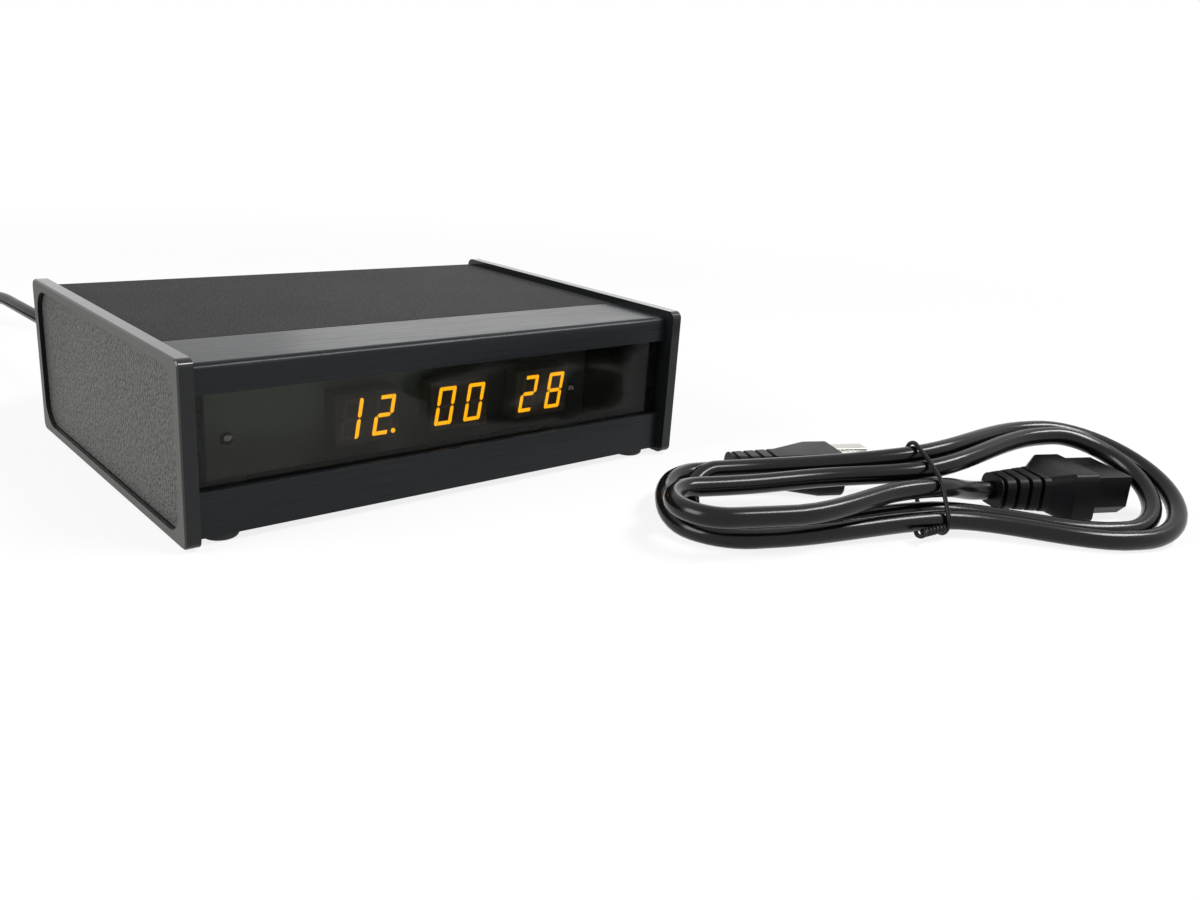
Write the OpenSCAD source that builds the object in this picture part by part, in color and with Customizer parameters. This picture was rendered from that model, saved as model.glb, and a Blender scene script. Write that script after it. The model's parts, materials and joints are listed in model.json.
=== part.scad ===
// Desktop time code display unit. Two moulded end caps and black extrusions make a low case
// with a smoked window and a six digit display. Its two mains leads lie with it.
// Millimetres, +Z up. The origin is on the table under the middle of the case, +X is to the
// right seen from the front, and +Y is to the rear. Case measures start at the end caps'
// front edge in Y and at their lower edge in Z.

/* [Case] */
// Overall width across the end caps
case_w = 206; // [200:1:300]
// Depth of the end caps, front to rear
case_d = 147; // [142:1:220]
// Height of the end caps
case_h = 60; // [57:1:80]
// Thickness of each end cap
cap_t = 5; // [4:0.5:8]
// Corner radius of the end caps
cap_r = 3; // [1:0.5:6]
// Chamfer round the outer edge of the end caps
cap_edge = 0.6; // [0.2:0.1:0.9]
// Rim above and below the recess of an end cap
rim_h = 3.5; // [2:0.5:6]
// Rim in front of and behind the recess of an end cap
rim_d = 4.5; // [2:0.5:8]
// Depth from the rim to the end panel
recess_depth = 1.6; // [0.5:0.1:1.8]
// Corner radius of the recess
recess_r = 9; // [4:0.5:14]
// Thickness of the textured end panels
end_panel_t = 1; // [0.5:0.1:1.2]
// Height of the end caps' lower edge above the table
foot_lift = 1; // [0.5:0.1:5]
// Radius of the rubber feet
foot_r = 6; // [4:0.5:9]

/* [Rails and covers] */
// Drop from the end caps' top edge to the top cover
cover_drop = 2.6; // [1:0.1:5]
// Thickness of the top and bottom covers
cover_t = 1.6; // [1:0.1:2]
// Distance from the covers' rear edge to the end caps' rear edge
cover_back = 1.8; // [1:0.1:2.5]
// Distance from the end caps' front edge to the fascia
fascia_set = 3.7; // [2:0.1:6]
// Wall of the rails
rail_wall = 2.4; // [1.8:0.1:3]
// Radius of the front top rail's nose
nose_r = 2.5; // [1:0.1:3]
// Depth of the brushed top strip, from the fascia to the seam
strip_d = 32.5; // [28:0.5:45]
// Height of the upper fascia
fascia_h = 9.7; // [8:0.1:12]
// Height of the lower front strip
lower_h = 15; // [12:0.5:18]
// Height of the lower strip's bottom edge above the end caps' lower edge
strip_lift = 1.8; // [1:0.1:4]
// Depth of the front bottom rail
lower_rail_d = 26; // [24:0.5:32]
// Depth of the rear rails
rear_rail_d = 17; // [16:0.5:20]
// Distance from the end caps' rear edge to the rear panel
rear_set = 5; // [4.5:0.1:8]
// Thickness of the rear panel
rear_panel_t = 2; // [1.5:0.1:3]

/* [Window and display] */
// Thickness of the smoked window
window_t = 3; // [2:0.1:4]
// Air between the window and the faces of the display modules
display_set = 5.6; // [2:0.1:8]
// Width of a two digit module
module_w = 25; // [24:0.1:30]
// Height of a module
module_h = 19; // [17:0.1:21]
// Depth of a module, face to board
module_t = 8; // [6:0.1:10]
// Spacing of the modules
module_pitch = 38.1; // [32:0.1:42]
// Place of the middle module along the window
display_x = 5.5; // [-10:0.5:10]
// Drop from the middle of the window to the middle of the digits
display_drop = 2.6; // [0:0.1:4]
// Height of a digit
digit_h = 14.2; // [12:0.1:16]
// Width of a digit
digit_w = 7.3; // [6:0.1:8]
// Spacing of the two digits of a module
digit_pitch = 12.7; // [11.5:0.1:13]
// Width of a segment
segment_w = 1.35; // [0.8:0.05:1.6]
// Lean of the digits in degrees
digit_lean = 9; // [0:1:12]
// Hours shown
hours = 12; // [0:1:23]
// Minutes shown
minutes = 0; // [0:1:59]
// Seconds shown
seconds = 28; // [0:1:59]

/* [Rear fittings] */
// Height of the fittings on the rear panel
fittings_z = 25; // [20:0.5:35]
// Distance from the mains inlet to the left end cap
inlet_in = 21; // [19:0.5:26]
// Spacing from the mains inlet to the rocker switch
switch_off = 33; // [31:0.5:36]
// Spacing from the rocker switch to the fuse holder
fuse_off = 26; // [22:0.5:30]
// Distance from the loop-through jack to the right end cap
loop_in = 28; // [18:0.5:34]
// Spacing of the two jacks
jack_pitch = 26; // [20:0.5:30]
// Outer radius of a jack's shell
jack_r = 4.83; // [4.5:0.01:5]
// How far a jack stands out of the rear panel
jack_out = 14; // [12:0.5:18]
// Tilt of the rocker to either side in degrees
rocker_tilt = 9; // [5:1:12]

/* [Leads] */
// Diameter of the lead that is plugged in
lead_d = 6; // [5.5:0.1:6.5]
// Turns of that lead's coil, in two layers
coil_turns = 6.25; // [4.25:1:6.25]
// Outer winding radius of the coil
coil_r = 46; // [44:1:60]
// Diameter of the tied lead
spare_d = 7.2; // [6.5:0.1:7.2]
// Distance from the tie to the bend at the hank's left end
hank_left = 74; // [74:1:84]
// Distance from the tie to the bend at the hank's right end
hank_right = 70; // [70:1:80]
// Bend radius of the loops at the left end
hank_left_r = 15; // [15:0.5:18]
// Bend radius of the loops at the right end
hank_right_r = 28.5; // [28.5:0.5:32]
// Rise of the loops that lie over the connector
hank_rise = 21.5; // [21.5:0.5:25]
// Diameter of the ties' wire
tie_d = 1.6; // [1:0.1:2]

/* [Fits] */
// Gap round glass and panels in their grooves
groove_gap = 0.3; // [0.1:0.05:0.4]
// Open seam between a cover and the front rail
seam_gap = 0.4; // [0.2:0.1:0.8]
// Gap between parts that pass through one another
pass_gap = 0.2; // [0.1:0.05:0.3]
// Radial clearance of turning parts
turn_gap = 0.05; // [0.02:0.01:0.1]
// Air left between the turns of a wound lead
turn_air = 0.6; // [0.5:0.1:1]

/* [Hidden] */
$fn = 48;
over = 1;
hull_fn = 32;

// Case levels and depths
body_w = case_w - 2 * cap_t;
top_z = case_h - cover_drop;
fascia_y = fascia_set;
fascia_z = top_z - fascia_h;
lower_z = strip_lift + lower_h;
seam_y = fascia_y + strip_d;
lower_seam_y = fascia_y + lower_rail_d;
floor_z = strip_lift + cover_t;
roof_z = top_z - cover_t;
rear_edge_y = case_d - cover_back;
rear_out_y = case_d - rear_set;
rear_in_y = rear_out_y - rear_panel_t;
cap_floor_t = cap_t - recess_depth - end_panel_t;
end_gap = 0.3;
flange_h = 6;

// Rails
rib_t = 1.6;
nose_lap = 0.1;
ledge_in = 3;
ledge_out = 6;
ledge_t = 1.6;
upper_rib_h = 5;
lower_rib_h = 9;
rear_rib_h = 5;
boss_r = 3.2;
boss_sink = 0.8;
front_boss_in = 15;
rear_boss_in = 8;
window_y = fascia_y + rail_wall + groove_gap;
window_back_y = window_y + window_t;
front_boss_y = fascia_y + front_boss_in;
rear_boss_y = rear_in_y - rear_boss_in;
boss_step = rail_wall + boss_r - boss_sink;
BOSSES = [[front_boss_y, top_z - boss_step], [front_boss_y, strip_lift + boss_step],
    [rear_boss_y, roof_z - boss_step], [rear_boss_y, floor_z + boss_step]];
cap_screw_r = 1.4;
cap_screw_l = 14;
cap_head_r = 2.7;
cap_head_h = 1.3;
foot_in_x = 10;
foot_in_y = 7;
foot_taper = 0.8;

// Display
led_y = window_back_y + display_set;
board_y = led_y + module_t;
board_t = 1.6;
display_z = (fascia_z + lower_z) / 2 - display_drop;
segment_t = 0.15;
segment_gap = 0.2;
dot_r = 0.85;
dot_out = 1.1;
board_margin = 7;
screw_out = 8.8;
board_left_over = 25.8;
display_half = module_pitch + module_w / 2;
display_screw_xs = [display_x - display_half - screw_out - board_left_over,
    display_x + display_half + screw_out];
display_screw_drop = 3;
display_screw_z = display_z - display_screw_drop;
pan_r = 2.8;
pan_h = 1.9;
screw_r = 1.4;
bracket_w = 14;
bracket_t = 1.5;
ledge_top_z = floor_z + ledge_t;
bracket_top = 8;

// Electronics on the floor of the case
main_y = 52;
main_rear_gap = 2.2;
main_d = rear_edge_y - rear_rail_d - main_rear_gap - main_y;
main_from_right = 5;
main_from_left = 65;
main_w = body_w - main_from_right - main_from_left;
standoff_h = 6;
standoff_r = 3;
main_hole_in = 5;
main_x = body_w / 2 - main_from_right - main_w;
main_z = floor_z + standoff_h;
main_top_z = main_z + board_t;
header_w = 24;
header_t = 6;
header_h = 8.5;
header_x = 0;
header_in = 6;
ribbon_w = 20;
ribbon_t = 0.9;
ribbon_r = 8;
ribbon_z = display_z + 4;
transformer_w = 42;
transformer_h = 35;
stack_t = 15;
leg_w = 14;
yoke_w = 7;
winding_gap = 0.2;
winding_wrap = 6;
transformer_back = 52;
transformer_y = rear_in_y - transformer_back;
transformer_in = 28;

// Rear fittings
inlet_x = -body_w / 2 + inlet_in;
switch_x = inlet_x + switch_off;
fuse_x = switch_x + fuse_off;
loop_x = body_w / 2 - loop_in;
input_x = loop_x - jack_pitch;
knob_x = (fuse_x + input_x) / 2;
inlet_flange = [31, 24.6, 2.4];
inlet_body = [27, 19.8, 22];
inlet_depth = 14;
plug_in = [23.9, 16.1];
plug_cut = 4;
pin_size = [4, 2];
PINS = [[-7, 0], [7, 0], [0, 4]];
pin_drop = 2;
pin_tail = 6;
socket_gap = 0.4;
slot_gap = 0.3;
switch_flange = [21, 15, 1.8];
switch_body = [19.2, 12.9, 18];
rocker_w = 10.4;
rocker_r = 8.3;
rocker_gap = 0.25;
rocker_pivot = -1;
rocker_well = 7;
trunnion_r = 1.2;
trunnion_l = 0.7;
fuse_body_r = 6.2;
fuse_body_l = 34;
fuse_flange_r = 8;
fuse_flange_t = 2.5;
fuse_bore_r = 4.6;
fuse_wall_end = 3;
fuse_knob_r = 7;
fuse_knob_h = 8;
fuse_stem_l = 10;
fuse_link_r = 2.6;
fuse_link_l = 20;
fuse_grip = 6;
pot_r = 8.5;
pot_l = 12;
bush_r = 3.9;
bush_out = 5;
shaft_r = 3;
shaft_out = 13;
knob_r = 7;
knob_h = 8.6;
knob_flutes = 18;
flute_r = 0.8;
nut_t = 2;
thread_r = 4.6;
thread_l = 10;
jack_flange_r = 7;
jack_flange_t = 2;
lug_r = 1;
lug_out = 0.8;
lug_back = 4.5;
nut_wall = 2.6;

// The origin is under the middle of the case with its rear fittings
rear_reach = max(jack_out, bush_out + pass_gap + knob_h) - rear_set;
front_y = -(case_d + rear_reach) / 2;

// Connector and plug of a lead
connector_out = [27.6, 19.6];
connector_body_l = 17;
relief_l = 20;
connector_back = inlet_flange[2] + connector_body_l + relief_l;
relief_size = [18, 14];
relief_wall = 2.4;
relief_slots = 4;
relief_flat = 1.6;
relief_slot_t = 1.5;
plug_out = [17, 24];
plug_relief = [14, 14];
plug_body_l = 24;
plug_relief_l = 20;
plug_back = plug_body_l + plug_relief_l;
plug_r = 4.5;
blade_size = [1.5, 6.35, 16];
blade_pitch = 12.7;
ground_r = 2.4;
ground_l = 18;
ground_off = 11.9;
plug_shift = 5.5;
plug_z = plug_out[0] / 2;
connector_z = connector_out[1] / 2;

// Coil of the plugged-in lead: two layers that wind in, climb and wind out again
coil_at = [-150, 304];
coil_step = lead_d + turn_air;
coil_low_z = lead_d / 2 + 0.1;
coil_reverse = coil_turns / 2;
coil_lead_in = 12;
coil_lead_out = [30, 42];
coil_tie_turn = 0.75;
coil_tie_span = 0.12;
coil_tie_lift = tie_d + 0.2;
loop_rings = 24;

// Route of the plugged-in lead from its connector to the coil, where it comes in along -X
lead_exit = [inlet_x, front_y + rear_out_y + connector_back, foot_lift + fittings_z];
lead_route = [[-77, 133, 26], [-77.5, 155, 25.5], [-78, 180, 25], [-78, 205, 24], [-78, 228, 21.5],
    [-79, 250, 16.5], [-81, 270, 10.5], [-85, 290, 5.5], [-90, 308, 3.3], [-97, 324, 3.1],
    [-106, 337, 3.1], [-117, 346, 3.1], [-129, 350, 3.1]];
route_parts = 3;

// Hank of the tied lead, in its own frame: X along the hank, through a tie at X = 0. From the
// plug the loops run anticlockwise and wind inwards. Behind the tie they rise to lie over the
// connector, and the last left bend lies on the others, further out and nearer the front
hank_at = [129.6, -184.5];
hank_turn = -25;
hank_step = spare_d + turn_air + 0.9;
hank_climb = spare_d + turn_air + 2.8;
hank_low_z = spare_d / 2 + 0.1;
hank_start = 0.6;
hank_even = 1.625;
hank_last = 2.375;
hank_rings = 54;
hank_left_rise = 11;
hank_side = 6;
last_further = 12;
last_side = -14.5;
hank_open = 66;
hank_shift = 4;
waist_v = spare_d / 2 + 6;
tie_lift = tie_d + 0.4;
tie_gap = 0.4;
plug_exit = [12 - hank_left, hank_side + hank_left_r + spare_d / 2 + plug_out[1] / 2 + 1.8, plug_z];
connector_exit = [32, 5, connector_z];
end_run = 7.5;
hank_plug_run = [plug_exit, plug_exit - [end_run, 0, 0], plug_exit + [-17, -1.4, 0],
    plug_exit + [-25, -6.9, -0.1], plug_exit + [-30.8, -15.2, -0.4]];
hank_connector_run = [[6, -3.6, 14.8], [12, -1, 13.4], [18, 2.4, 11.2],
    connector_exit - [end_run, 0, 0], connector_exit];

// Digits: segments top, upper right, lower right, bottom, lower left, upper left, middle
DIGITS = [[0, 1, 2, 3, 4, 5], [1, 2], [0, 1, 3, 4, 6], [0, 1, 2, 3, 6], [1, 2, 5, 6], [0, 2, 3, 5, 6],
    [0, 2, 3, 4, 5, 6], [0, 1, 2], [0, 1, 2, 3, 4, 5, 6], [0, 1, 2, 3, 5, 6]];
SHOWN = [floor(hours / 10), hours % 10, floor(minutes / 10), minutes % 10,
    floor(seconds / 10), seconds % 10];
LIT_DOT = 1;
hw = digit_w / 2;
hh = digit_h / 2;
sw = segment_w;
sg = segment_gap;
upright = [[hw - sw, hh], [hw - 0.35 * sw, hh], [hw, hh - 0.45 * sw], [hw, 0.55 * sw],
    [hw - 0.5 * sw, sg], [hw - sw, 0.5 * sw + sg]];
crossbar = [[-hw + sw + sg, hh - sw], [hw - sw - sg, hh - sw], [hw - sw - sg, hh], [-hw + sw + sg, hh]];
middle_bar = [[-hw + 0.6 * sw + sg, 0], [-hw + 1.1 * sw + sg, 0.5 * sw], [hw - 1.1 * sw - sg, 0.5 * sw],
    [hw - 0.6 * sw - sg, 0], [hw - 1.1 * sw - sg, -0.5 * sw], [-hw + 1.1 * sw + sg, -0.5 * sw]];
function flip(points, fx, fy) = [for (p = points) [fx * p[0], fy * p[1]]];
SEGMENTS = [crossbar, upright, flip(upright, 1, -1), flip(crossbar, 1, -1), flip(upright, -1, -1),
    flip(upright, -1, 1), middle_bar];
function lean(p) = [p[0] + p[1] * tan(digit_lean), p[1]];
function is_lit(value, segment) = len(search(segment, DIGITS[value])) > 0;

// Tubes swept along a path
function unit(v) = v / norm(v);
function tangent(path, i) = unit(path[min(i + 1, len(path) - 1)] - path[max(i - 1, 0)]);
function ring(p, t, r, sides) =
    let (s = unit(cross([0, 0, 1], t)), u = cross(t, s))
    [for (i = [0:sides - 1]) p + r * (cos(360 * i / sides) * s + sin(360 * i / sides) * u)];
function smooth(x) = let (c = min(1, max(0, x))) c * c * (3 - 2 * c);
function blend(a, b, c, d, t) = 0.5 * (2 * b + (c - a) * t + (2 * a - 5 * b + 4 * c - d) * t * t
    + (3 * b - a - 3 * c + d) * t * t * t);
function curve(points, parts) = let (last = len(points) - 1) concat(
    [for (i = [0:last - 1]) for (k = [0:parts - 1]) blend(points[max(i - 1, 0)], points[i],
        points[i + 1], points[min(i + 2, last)], k / parts)], [points[last]]);
function path_length(path) = path_sum(path, len(path) - 1);
function path_sum(path, i) = i < 1 ? 0 : norm(path[i] - path[i - 1]) + path_sum(path, i - 1);
function to_span(p, a, b) = let (t = min(1, max(0, (p - a) * (b - a) / ((b - a) * (b - a)))))
    norm(p - a - t * (b - a));
function least_gap(path, d) = min([for (i = [0:len(path) - 1]) for (j = [i + 6:1:len(path) - 2])
    to_span(path[i], path[j], path[j + 1])]) - d;

module tube(path, d, sides) {
    rings = len(path);
    points = [for (i = [0:rings - 1]) each ring(path[i], tangent(path, i), d / 2, sides)];
    walls = [for (i = [0:rings - 2]) for (k = [0:sides - 1])
        let (a = i * sides + k, b = i * sides + (k + 1) % sides)
        each [[a, a + sides, b], [b, a + sides, b + sides]]];
    ends = [for (k = [1:sides - 2]) each [[0, k, k + 1],
        [(rings - 1) * sides, (rings - 1) * sides + k + 1, (rings - 1) * sides + k]]];
    polyhedron(points, concat(walls, ends));
}

// Coil of the plugged-in lead
function coil_bump(t) = let (x = abs(t - floor(t) - coil_tie_turn) / coil_tie_span)
    x < 1 ? pow(cos(90 * x), 2) : 0;
function coil_point(t) =
    let (r = coil_r - coil_step * (coil_reverse - abs(t - coil_reverse)), a = 90 + 360 * t)
    [coil_at[0] + r * cos(a), coil_at[1] + r * sin(a), coil_low_z + coil_tie_lift * coil_bump(t)
        + coil_step * smooth((t - coil_reverse + 0.25) * 2)];
coil_start = [coil_at[0] + coil_lead_in, coil_at[1] + coil_r, coil_low_z];
coil_path = concat([coil_start],
    [for (i = [0:coil_turns * loop_rings]) coil_point(i / loop_rings)],
    [for (l = coil_lead_out) [coil_at[0] - coil_r, coil_at[1] - l, plug_z]]);
lead_plug_at = coil_path[len(coil_path) - 1];
lead_path = curve(concat([lead_exit], lead_route, [coil_start]), route_parts);

// Hank of the tied lead. Each turn is a right bend, a rear run, a left bend and a front run
function hank_waist(u) = 1 - smooth(abs(u) / hank_open);
function hank_reach(u) = let (r = u < 0 ? hank_left_r : hank_right_r) r + (waist_v - r) * hank_waist(u);
function hank_aside(u, side) = u < 0 ? side * (1 - hank_waist(u)) : 0;
function hank_turn_at(q, left, side, grow) = let (long = left + hank_right)
    q < 0.25 ? let (a = 720 * q - 90, r = hank_right_r + grow)
        [hank_right + r * cos(a), r * sin(a), hank_rise * smooth(4 * q)]
    : q < 0.5 ? let (u = hank_right - long * (4 * q - 1)) [u, hank_aside(u, side) + hank_reach(u) + grow,
        hank_left_rise + (hank_rise - hank_left_rise) * smooth((u + left) / long)]
    : q < 0.75 ? let (a = 720 * q - 270, r = hank_left_r + grow)
        [r * cos(a) - left, side + r * sin(a), hank_left_rise * (1 - smooth(6 * q - 3))]
    : let (u = long * (4 * q - 3) - left)
        [u, hank_aside(u, side) - hank_reach(u) - grow + hank_shift * hank_waist(u), 0];
function hank_point(t) =
    let (last = smooth((t - hank_last) * 8), climbed = smooth((t - hank_last) * 4 + 0.5),
        p = hank_turn_at(t - floor(t), hank_left + last_further * last, hank_side + last_side * last,
            hank_step * (hank_even - t) * (1 - last)))
    [p[0], p[1], hank_low_z + tie_lift * hank_waist(p[0]) + p[2] * (1 - climbed) + hank_climb * climbed];
hank_path = concat(hank_plug_run,
    [for (i = [0:hank_rings]) hank_point(hank_start + i / loop_rings)], hank_connector_run);
hank_crossings = [for (i = [0:len(hank_path) - 2]) let (a = hank_path[i], b = hank_path[i + 1])
    if (a[0] * b[0] < 0) a + (b - a) * a[0] / (a[0] - b[0])];
coil_tie_in = coil_r - coil_step * coil_reverse - lead_d / 2 - pass_gap;
coil_tie_out = coil_r + lead_d / 2 + pass_gap;
coil_tie_top = coil_low_z + coil_tie_lift + coil_step + lead_d / 2 + pass_gap;
echo("Coil least gap", least_gap(coil_path, lead_d), "length", path_length(coil_path));
echo("Lead stretch least gap", least_gap(lead_path, lead_d), "length", path_length(lead_path));
echo("Hank least gap", least_gap(hank_path, spare_d), "length", path_length(hank_path));

// Frames and shared shapes
module in_case() translate([0, front_y, foot_lift]) children();
module along_x(t) rotate([90, 0, 90]) linear_extrude(t) children();
module on_front(x, y, z) translate([x, y, z]) rotate([90, 0, 0]) children();
module on_rear(x) translate([x, rear_out_y, fittings_z]) rotate([90, 0, 180]) children();
module in_hank() translate([hank_at[0], hank_at[1], 0]) rotate(hank_turn) children();
module block(size, z) translate([-size[0] / 2, -size[1] / 2, z]) cube(size);

module rounded_rect(size, r) {
    translate([r, 0]) square([size[0] - 2 * r, size[1]]);
    translate([0, r]) square([size[0], size[1] - 2 * r]);
    for (x = [r, size[0] - r]) for (y = [r, size[1] - r]) translate([x, y]) circle(r);
}
module rounded_plate(size, r, t) linear_extrude(t) translate([-size[0] / 2, -size[1] / 2])
    rounded_rect(size, r);

// End caps and panels, drawn as the right one
module recess_outline(gap) translate([rim_d + gap, rim_h + gap])
    rounded_rect([case_d - 2 * (rim_d + gap), case_h - 2 * (rim_h + gap)], recess_r - gap);
module cap_screw(gap) {
    translate([0, 0, -cap_screw_l - gap]) cylinder(r = cap_screw_r + gap, h = cap_screw_l + gap);
    translate([0, 0, -cap_head_h]) cylinder(r1 = cap_screw_r, r2 = cap_head_r, h = cap_head_h);
}
module at_cap_screws() for (b = BOSSES)
    translate([body_w / 2 + cap_floor_t, b[0], b[1]]) rotate([0, 90, 0]) children();
module end_cap() in_case() difference() {
    translate([body_w / 2, 0, 0]) difference() {
        hull() {
            along_x(cap_t - cap_edge) rounded_rect([case_d, case_h], cap_r, $fn = hull_fn);
            along_x(cap_t) translate([cap_edge, cap_edge])
                rounded_rect([case_d - 2 * cap_edge, case_h - 2 * cap_edge], cap_r - cap_edge, $fn = hull_fn);
        }
        translate([cap_floor_t, 0, 0]) along_x(cap_t) recess_outline(0);
    }
    at_cap_screws() cap_screw(pass_gap);
}
module end_panel() in_case() translate([body_w / 2 + cap_floor_t, 0, 0])
    along_x(end_panel_t) recess_outline(pass_gap);
module right_end_cap() color([0.1, 0.1, 0.1]) end_cap();
module left_end_cap() color([0.1, 0.1, 0.1]) mirror([1, 0, 0]) end_cap();
module right_end_panel() color([0.28, 0.28, 0.27]) end_panel();
module left_end_panel() color([0.28, 0.28, 0.27]) mirror([1, 0, 0]) end_panel();
module end_cap_screws() color("silver") in_case() for (side = [0, 1])
    mirror([side, 0, 0]) at_cap_screws() cap_screw(0);

// Rails, as sections drawn in depth and height and run along the case
module boss_at(p) translate(p) circle(boss_r);
module bore_at(p) translate(p) circle(cap_screw_r + turn_gap);
module rail(boss) translate([-body_w / 2, 0, 0]) along_x(body_w) difference() {
    union() {
        children();
        boss_at(boss);
    }
    bore_at(boss);
}
module front_top_rail() color([0.13, 0.14, 0.15]) in_case() rail(BOSSES[0]) {
    translate([fascia_y + nose_r, top_z - nose_r]) intersection() {
        circle(nose_r);
        translate([-nose_r, -nose_lap]) square(nose_r + nose_lap);
    }
    translate([fascia_y + nose_r, top_z - rail_wall]) square([strip_d - nose_r, rail_wall]);
    translate([fascia_y, fascia_z]) square([rail_wall, fascia_h - nose_r]);
    translate([window_back_y + groove_gap, top_z - rail_wall - upper_rib_h])
        square([rib_t, upper_rib_h + over]);
    translate([seam_y - ledge_in, roof_z - ledge_t]) square([ledge_in + ledge_out, ledge_t]);
}
module front_bottom_rail() color([0.13, 0.14, 0.15]) in_case() rail(BOSSES[1]) {
    translate([fascia_y, strip_lift]) square([rail_wall, lower_h]);
    translate([fascia_y, strip_lift]) square([lower_rail_d, rail_wall]);
    translate([window_back_y + groove_gap, strip_lift]) square([rib_t, rail_wall + lower_rib_h]);
    translate([lower_seam_y - ledge_in, floor_z]) square([ledge_in + ledge_out, ledge_t]);
}
module rear_ribs(z) for (y = [rear_in_y - groove_gap - rib_t, rear_out_y + groove_gap])
    translate([y, z]) square([rib_t, rear_rib_h + over]);
module rear_top_rail() color([0.13, 0.14, 0.15]) in_case() rail(BOSSES[2]) {
    translate([rear_edge_y - rear_rail_d, roof_z - rail_wall]) square([rear_rail_d, rail_wall]);
    rear_ribs(roof_z - rail_wall - rear_rib_h);
}
module rear_bottom_rail() color([0.13, 0.14, 0.15]) in_case() rail(BOSSES[3]) {
    translate([rear_edge_y - rear_rail_d, floor_z]) square([rear_rail_d, rail_wall]);
    rear_ribs(floor_z + rail_wall - over);
}

// Covers with folded side flanges between the rails
module cover(from_y, z, flange_z) {
    flange_from = from_y + ledge_out + over;
    flange_d = rear_edge_y - rear_rail_d - over - flange_from;
    translate([-body_w / 2 + end_gap, from_y, z]) cube([body_w - 2 * end_gap, rear_edge_y - from_y, cover_t]);
    for (x = [-body_w / 2 + end_gap, body_w / 2 - end_gap - cover_t])
        translate([x, flange_from, flange_z]) cube([cover_t, flange_d, flange_h]);
}
module top_cover() color([0.2, 0.2, 0.2]) in_case() cover(seam_y + seam_gap, roof_z, top_z - flange_h);
module bottom_cover() color([0.2, 0.2, 0.2]) in_case() cover(lower_seam_y + seam_gap, strip_lift, strip_lift);
module smoked_window() color([0.05, 0.06, 0.05, 0.6]) in_case()
    translate([-body_w / 2 + end_gap, window_y, strip_lift + rail_wall])
    cube([body_w - 2 * end_gap, window_t, top_z - strip_lift - 2 * rail_wall - groove_gap]);
module foot() rotate_extrude() polygon([[0, 0], [foot_r - foot_taper, 0], [foot_r, foot_taper],
    [foot_r, foot_lift + strip_lift], [0, foot_lift + strip_lift]]);
module rubber_feet() color([0.08, 0.08, 0.08])
    for (x = [foot_in_x - body_w / 2, body_w / 2 - foot_in_x])
        for (y = [fascia_y + foot_in_y, rear_in_y - foot_in_y]) translate([x, front_y + y, 0]) foot();

// Rear panel with the cut-outs of its fittings
module panel_hole(x, r) on_rear(x) translate([0, 0, -rear_panel_t - over])
    cylinder(r = r + pass_gap, h = rear_panel_t + 2 * over);
module panel_window(x, size) on_rear(x) block([size[0] + 2 * pass_gap, size[1] + 2 * pass_gap,
    rear_panel_t + 2 * over], -rear_panel_t - over);
module rear_panel() color([0.15, 0.15, 0.16]) in_case() difference() {
    low = floor_z + rail_wall;
    high = roof_z - rail_wall - groove_gap;
    translate([-body_w / 2 + end_gap, rear_in_y, low]) cube([body_w - 2 * end_gap, rear_panel_t, high - low]);
    panel_window(inlet_x, inlet_body);
    panel_window(switch_x, switch_body);
    panel_hole(fuse_x, fuse_body_r);
    panel_hole(knob_x, bush_r);
    panel_hole(input_x, thread_r);
    panel_hole(loop_x, thread_r);
}

// Display board, its brackets and its screws
module at_display_screws() for (x = display_screw_xs) on_front(x, board_y, display_screw_z) children();
module display_board() color([0.12, 0.3, 0.16]) in_case() difference() {
    low = display_z - module_h / 2 - board_margin;
    long = display_screw_xs[1] - display_screw_xs[0] + 2 * board_margin;
    translate([display_screw_xs[0] - board_margin, board_y, low])
        cube([long, board_t, module_h + 2 * board_margin]);
    at_display_screws() translate([0, 0, -board_t - over])
        cylinder(r = screw_r + pass_gap, h = board_t + 2 * over);
}
module display_brackets() color("silver") in_case() difference() {
    back_y = board_y + board_t;
    foot_d = lower_seam_y + ledge_out - back_y;
    for (x = display_screw_xs) translate([x - bracket_w / 2, 0, 0]) along_x(bracket_w) {
        translate([back_y, ledge_top_z]) square([bracket_t, display_screw_z + bracket_top - ledge_top_z]);
        translate([back_y, ledge_top_z]) square([foot_d, bracket_t]);
    }
    at_display_screws() translate([0, 0, -board_t - bracket_t - over])
        cylinder(r = screw_r + turn_gap, h = board_t + bracket_t + 2 * over);
}
module pan_screw(l) {
    translate([0, 0, -l]) cylinder(r = screw_r, h = l);
    rotate_extrude() difference() {
        translate([0, pan_h - pan_r]) circle(pan_r);
        translate([-2 * pan_r, -2 * pan_r]) square([2 * pan_r, 4 * pan_r]);
        translate([-pan_r, -2 * pan_r]) square([2 * pan_r, 2 * pan_r]);
    }
}
module display_screws() color("silver") in_case() at_display_screws() pan_screw(board_t + 2 * bracket_t);

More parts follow.
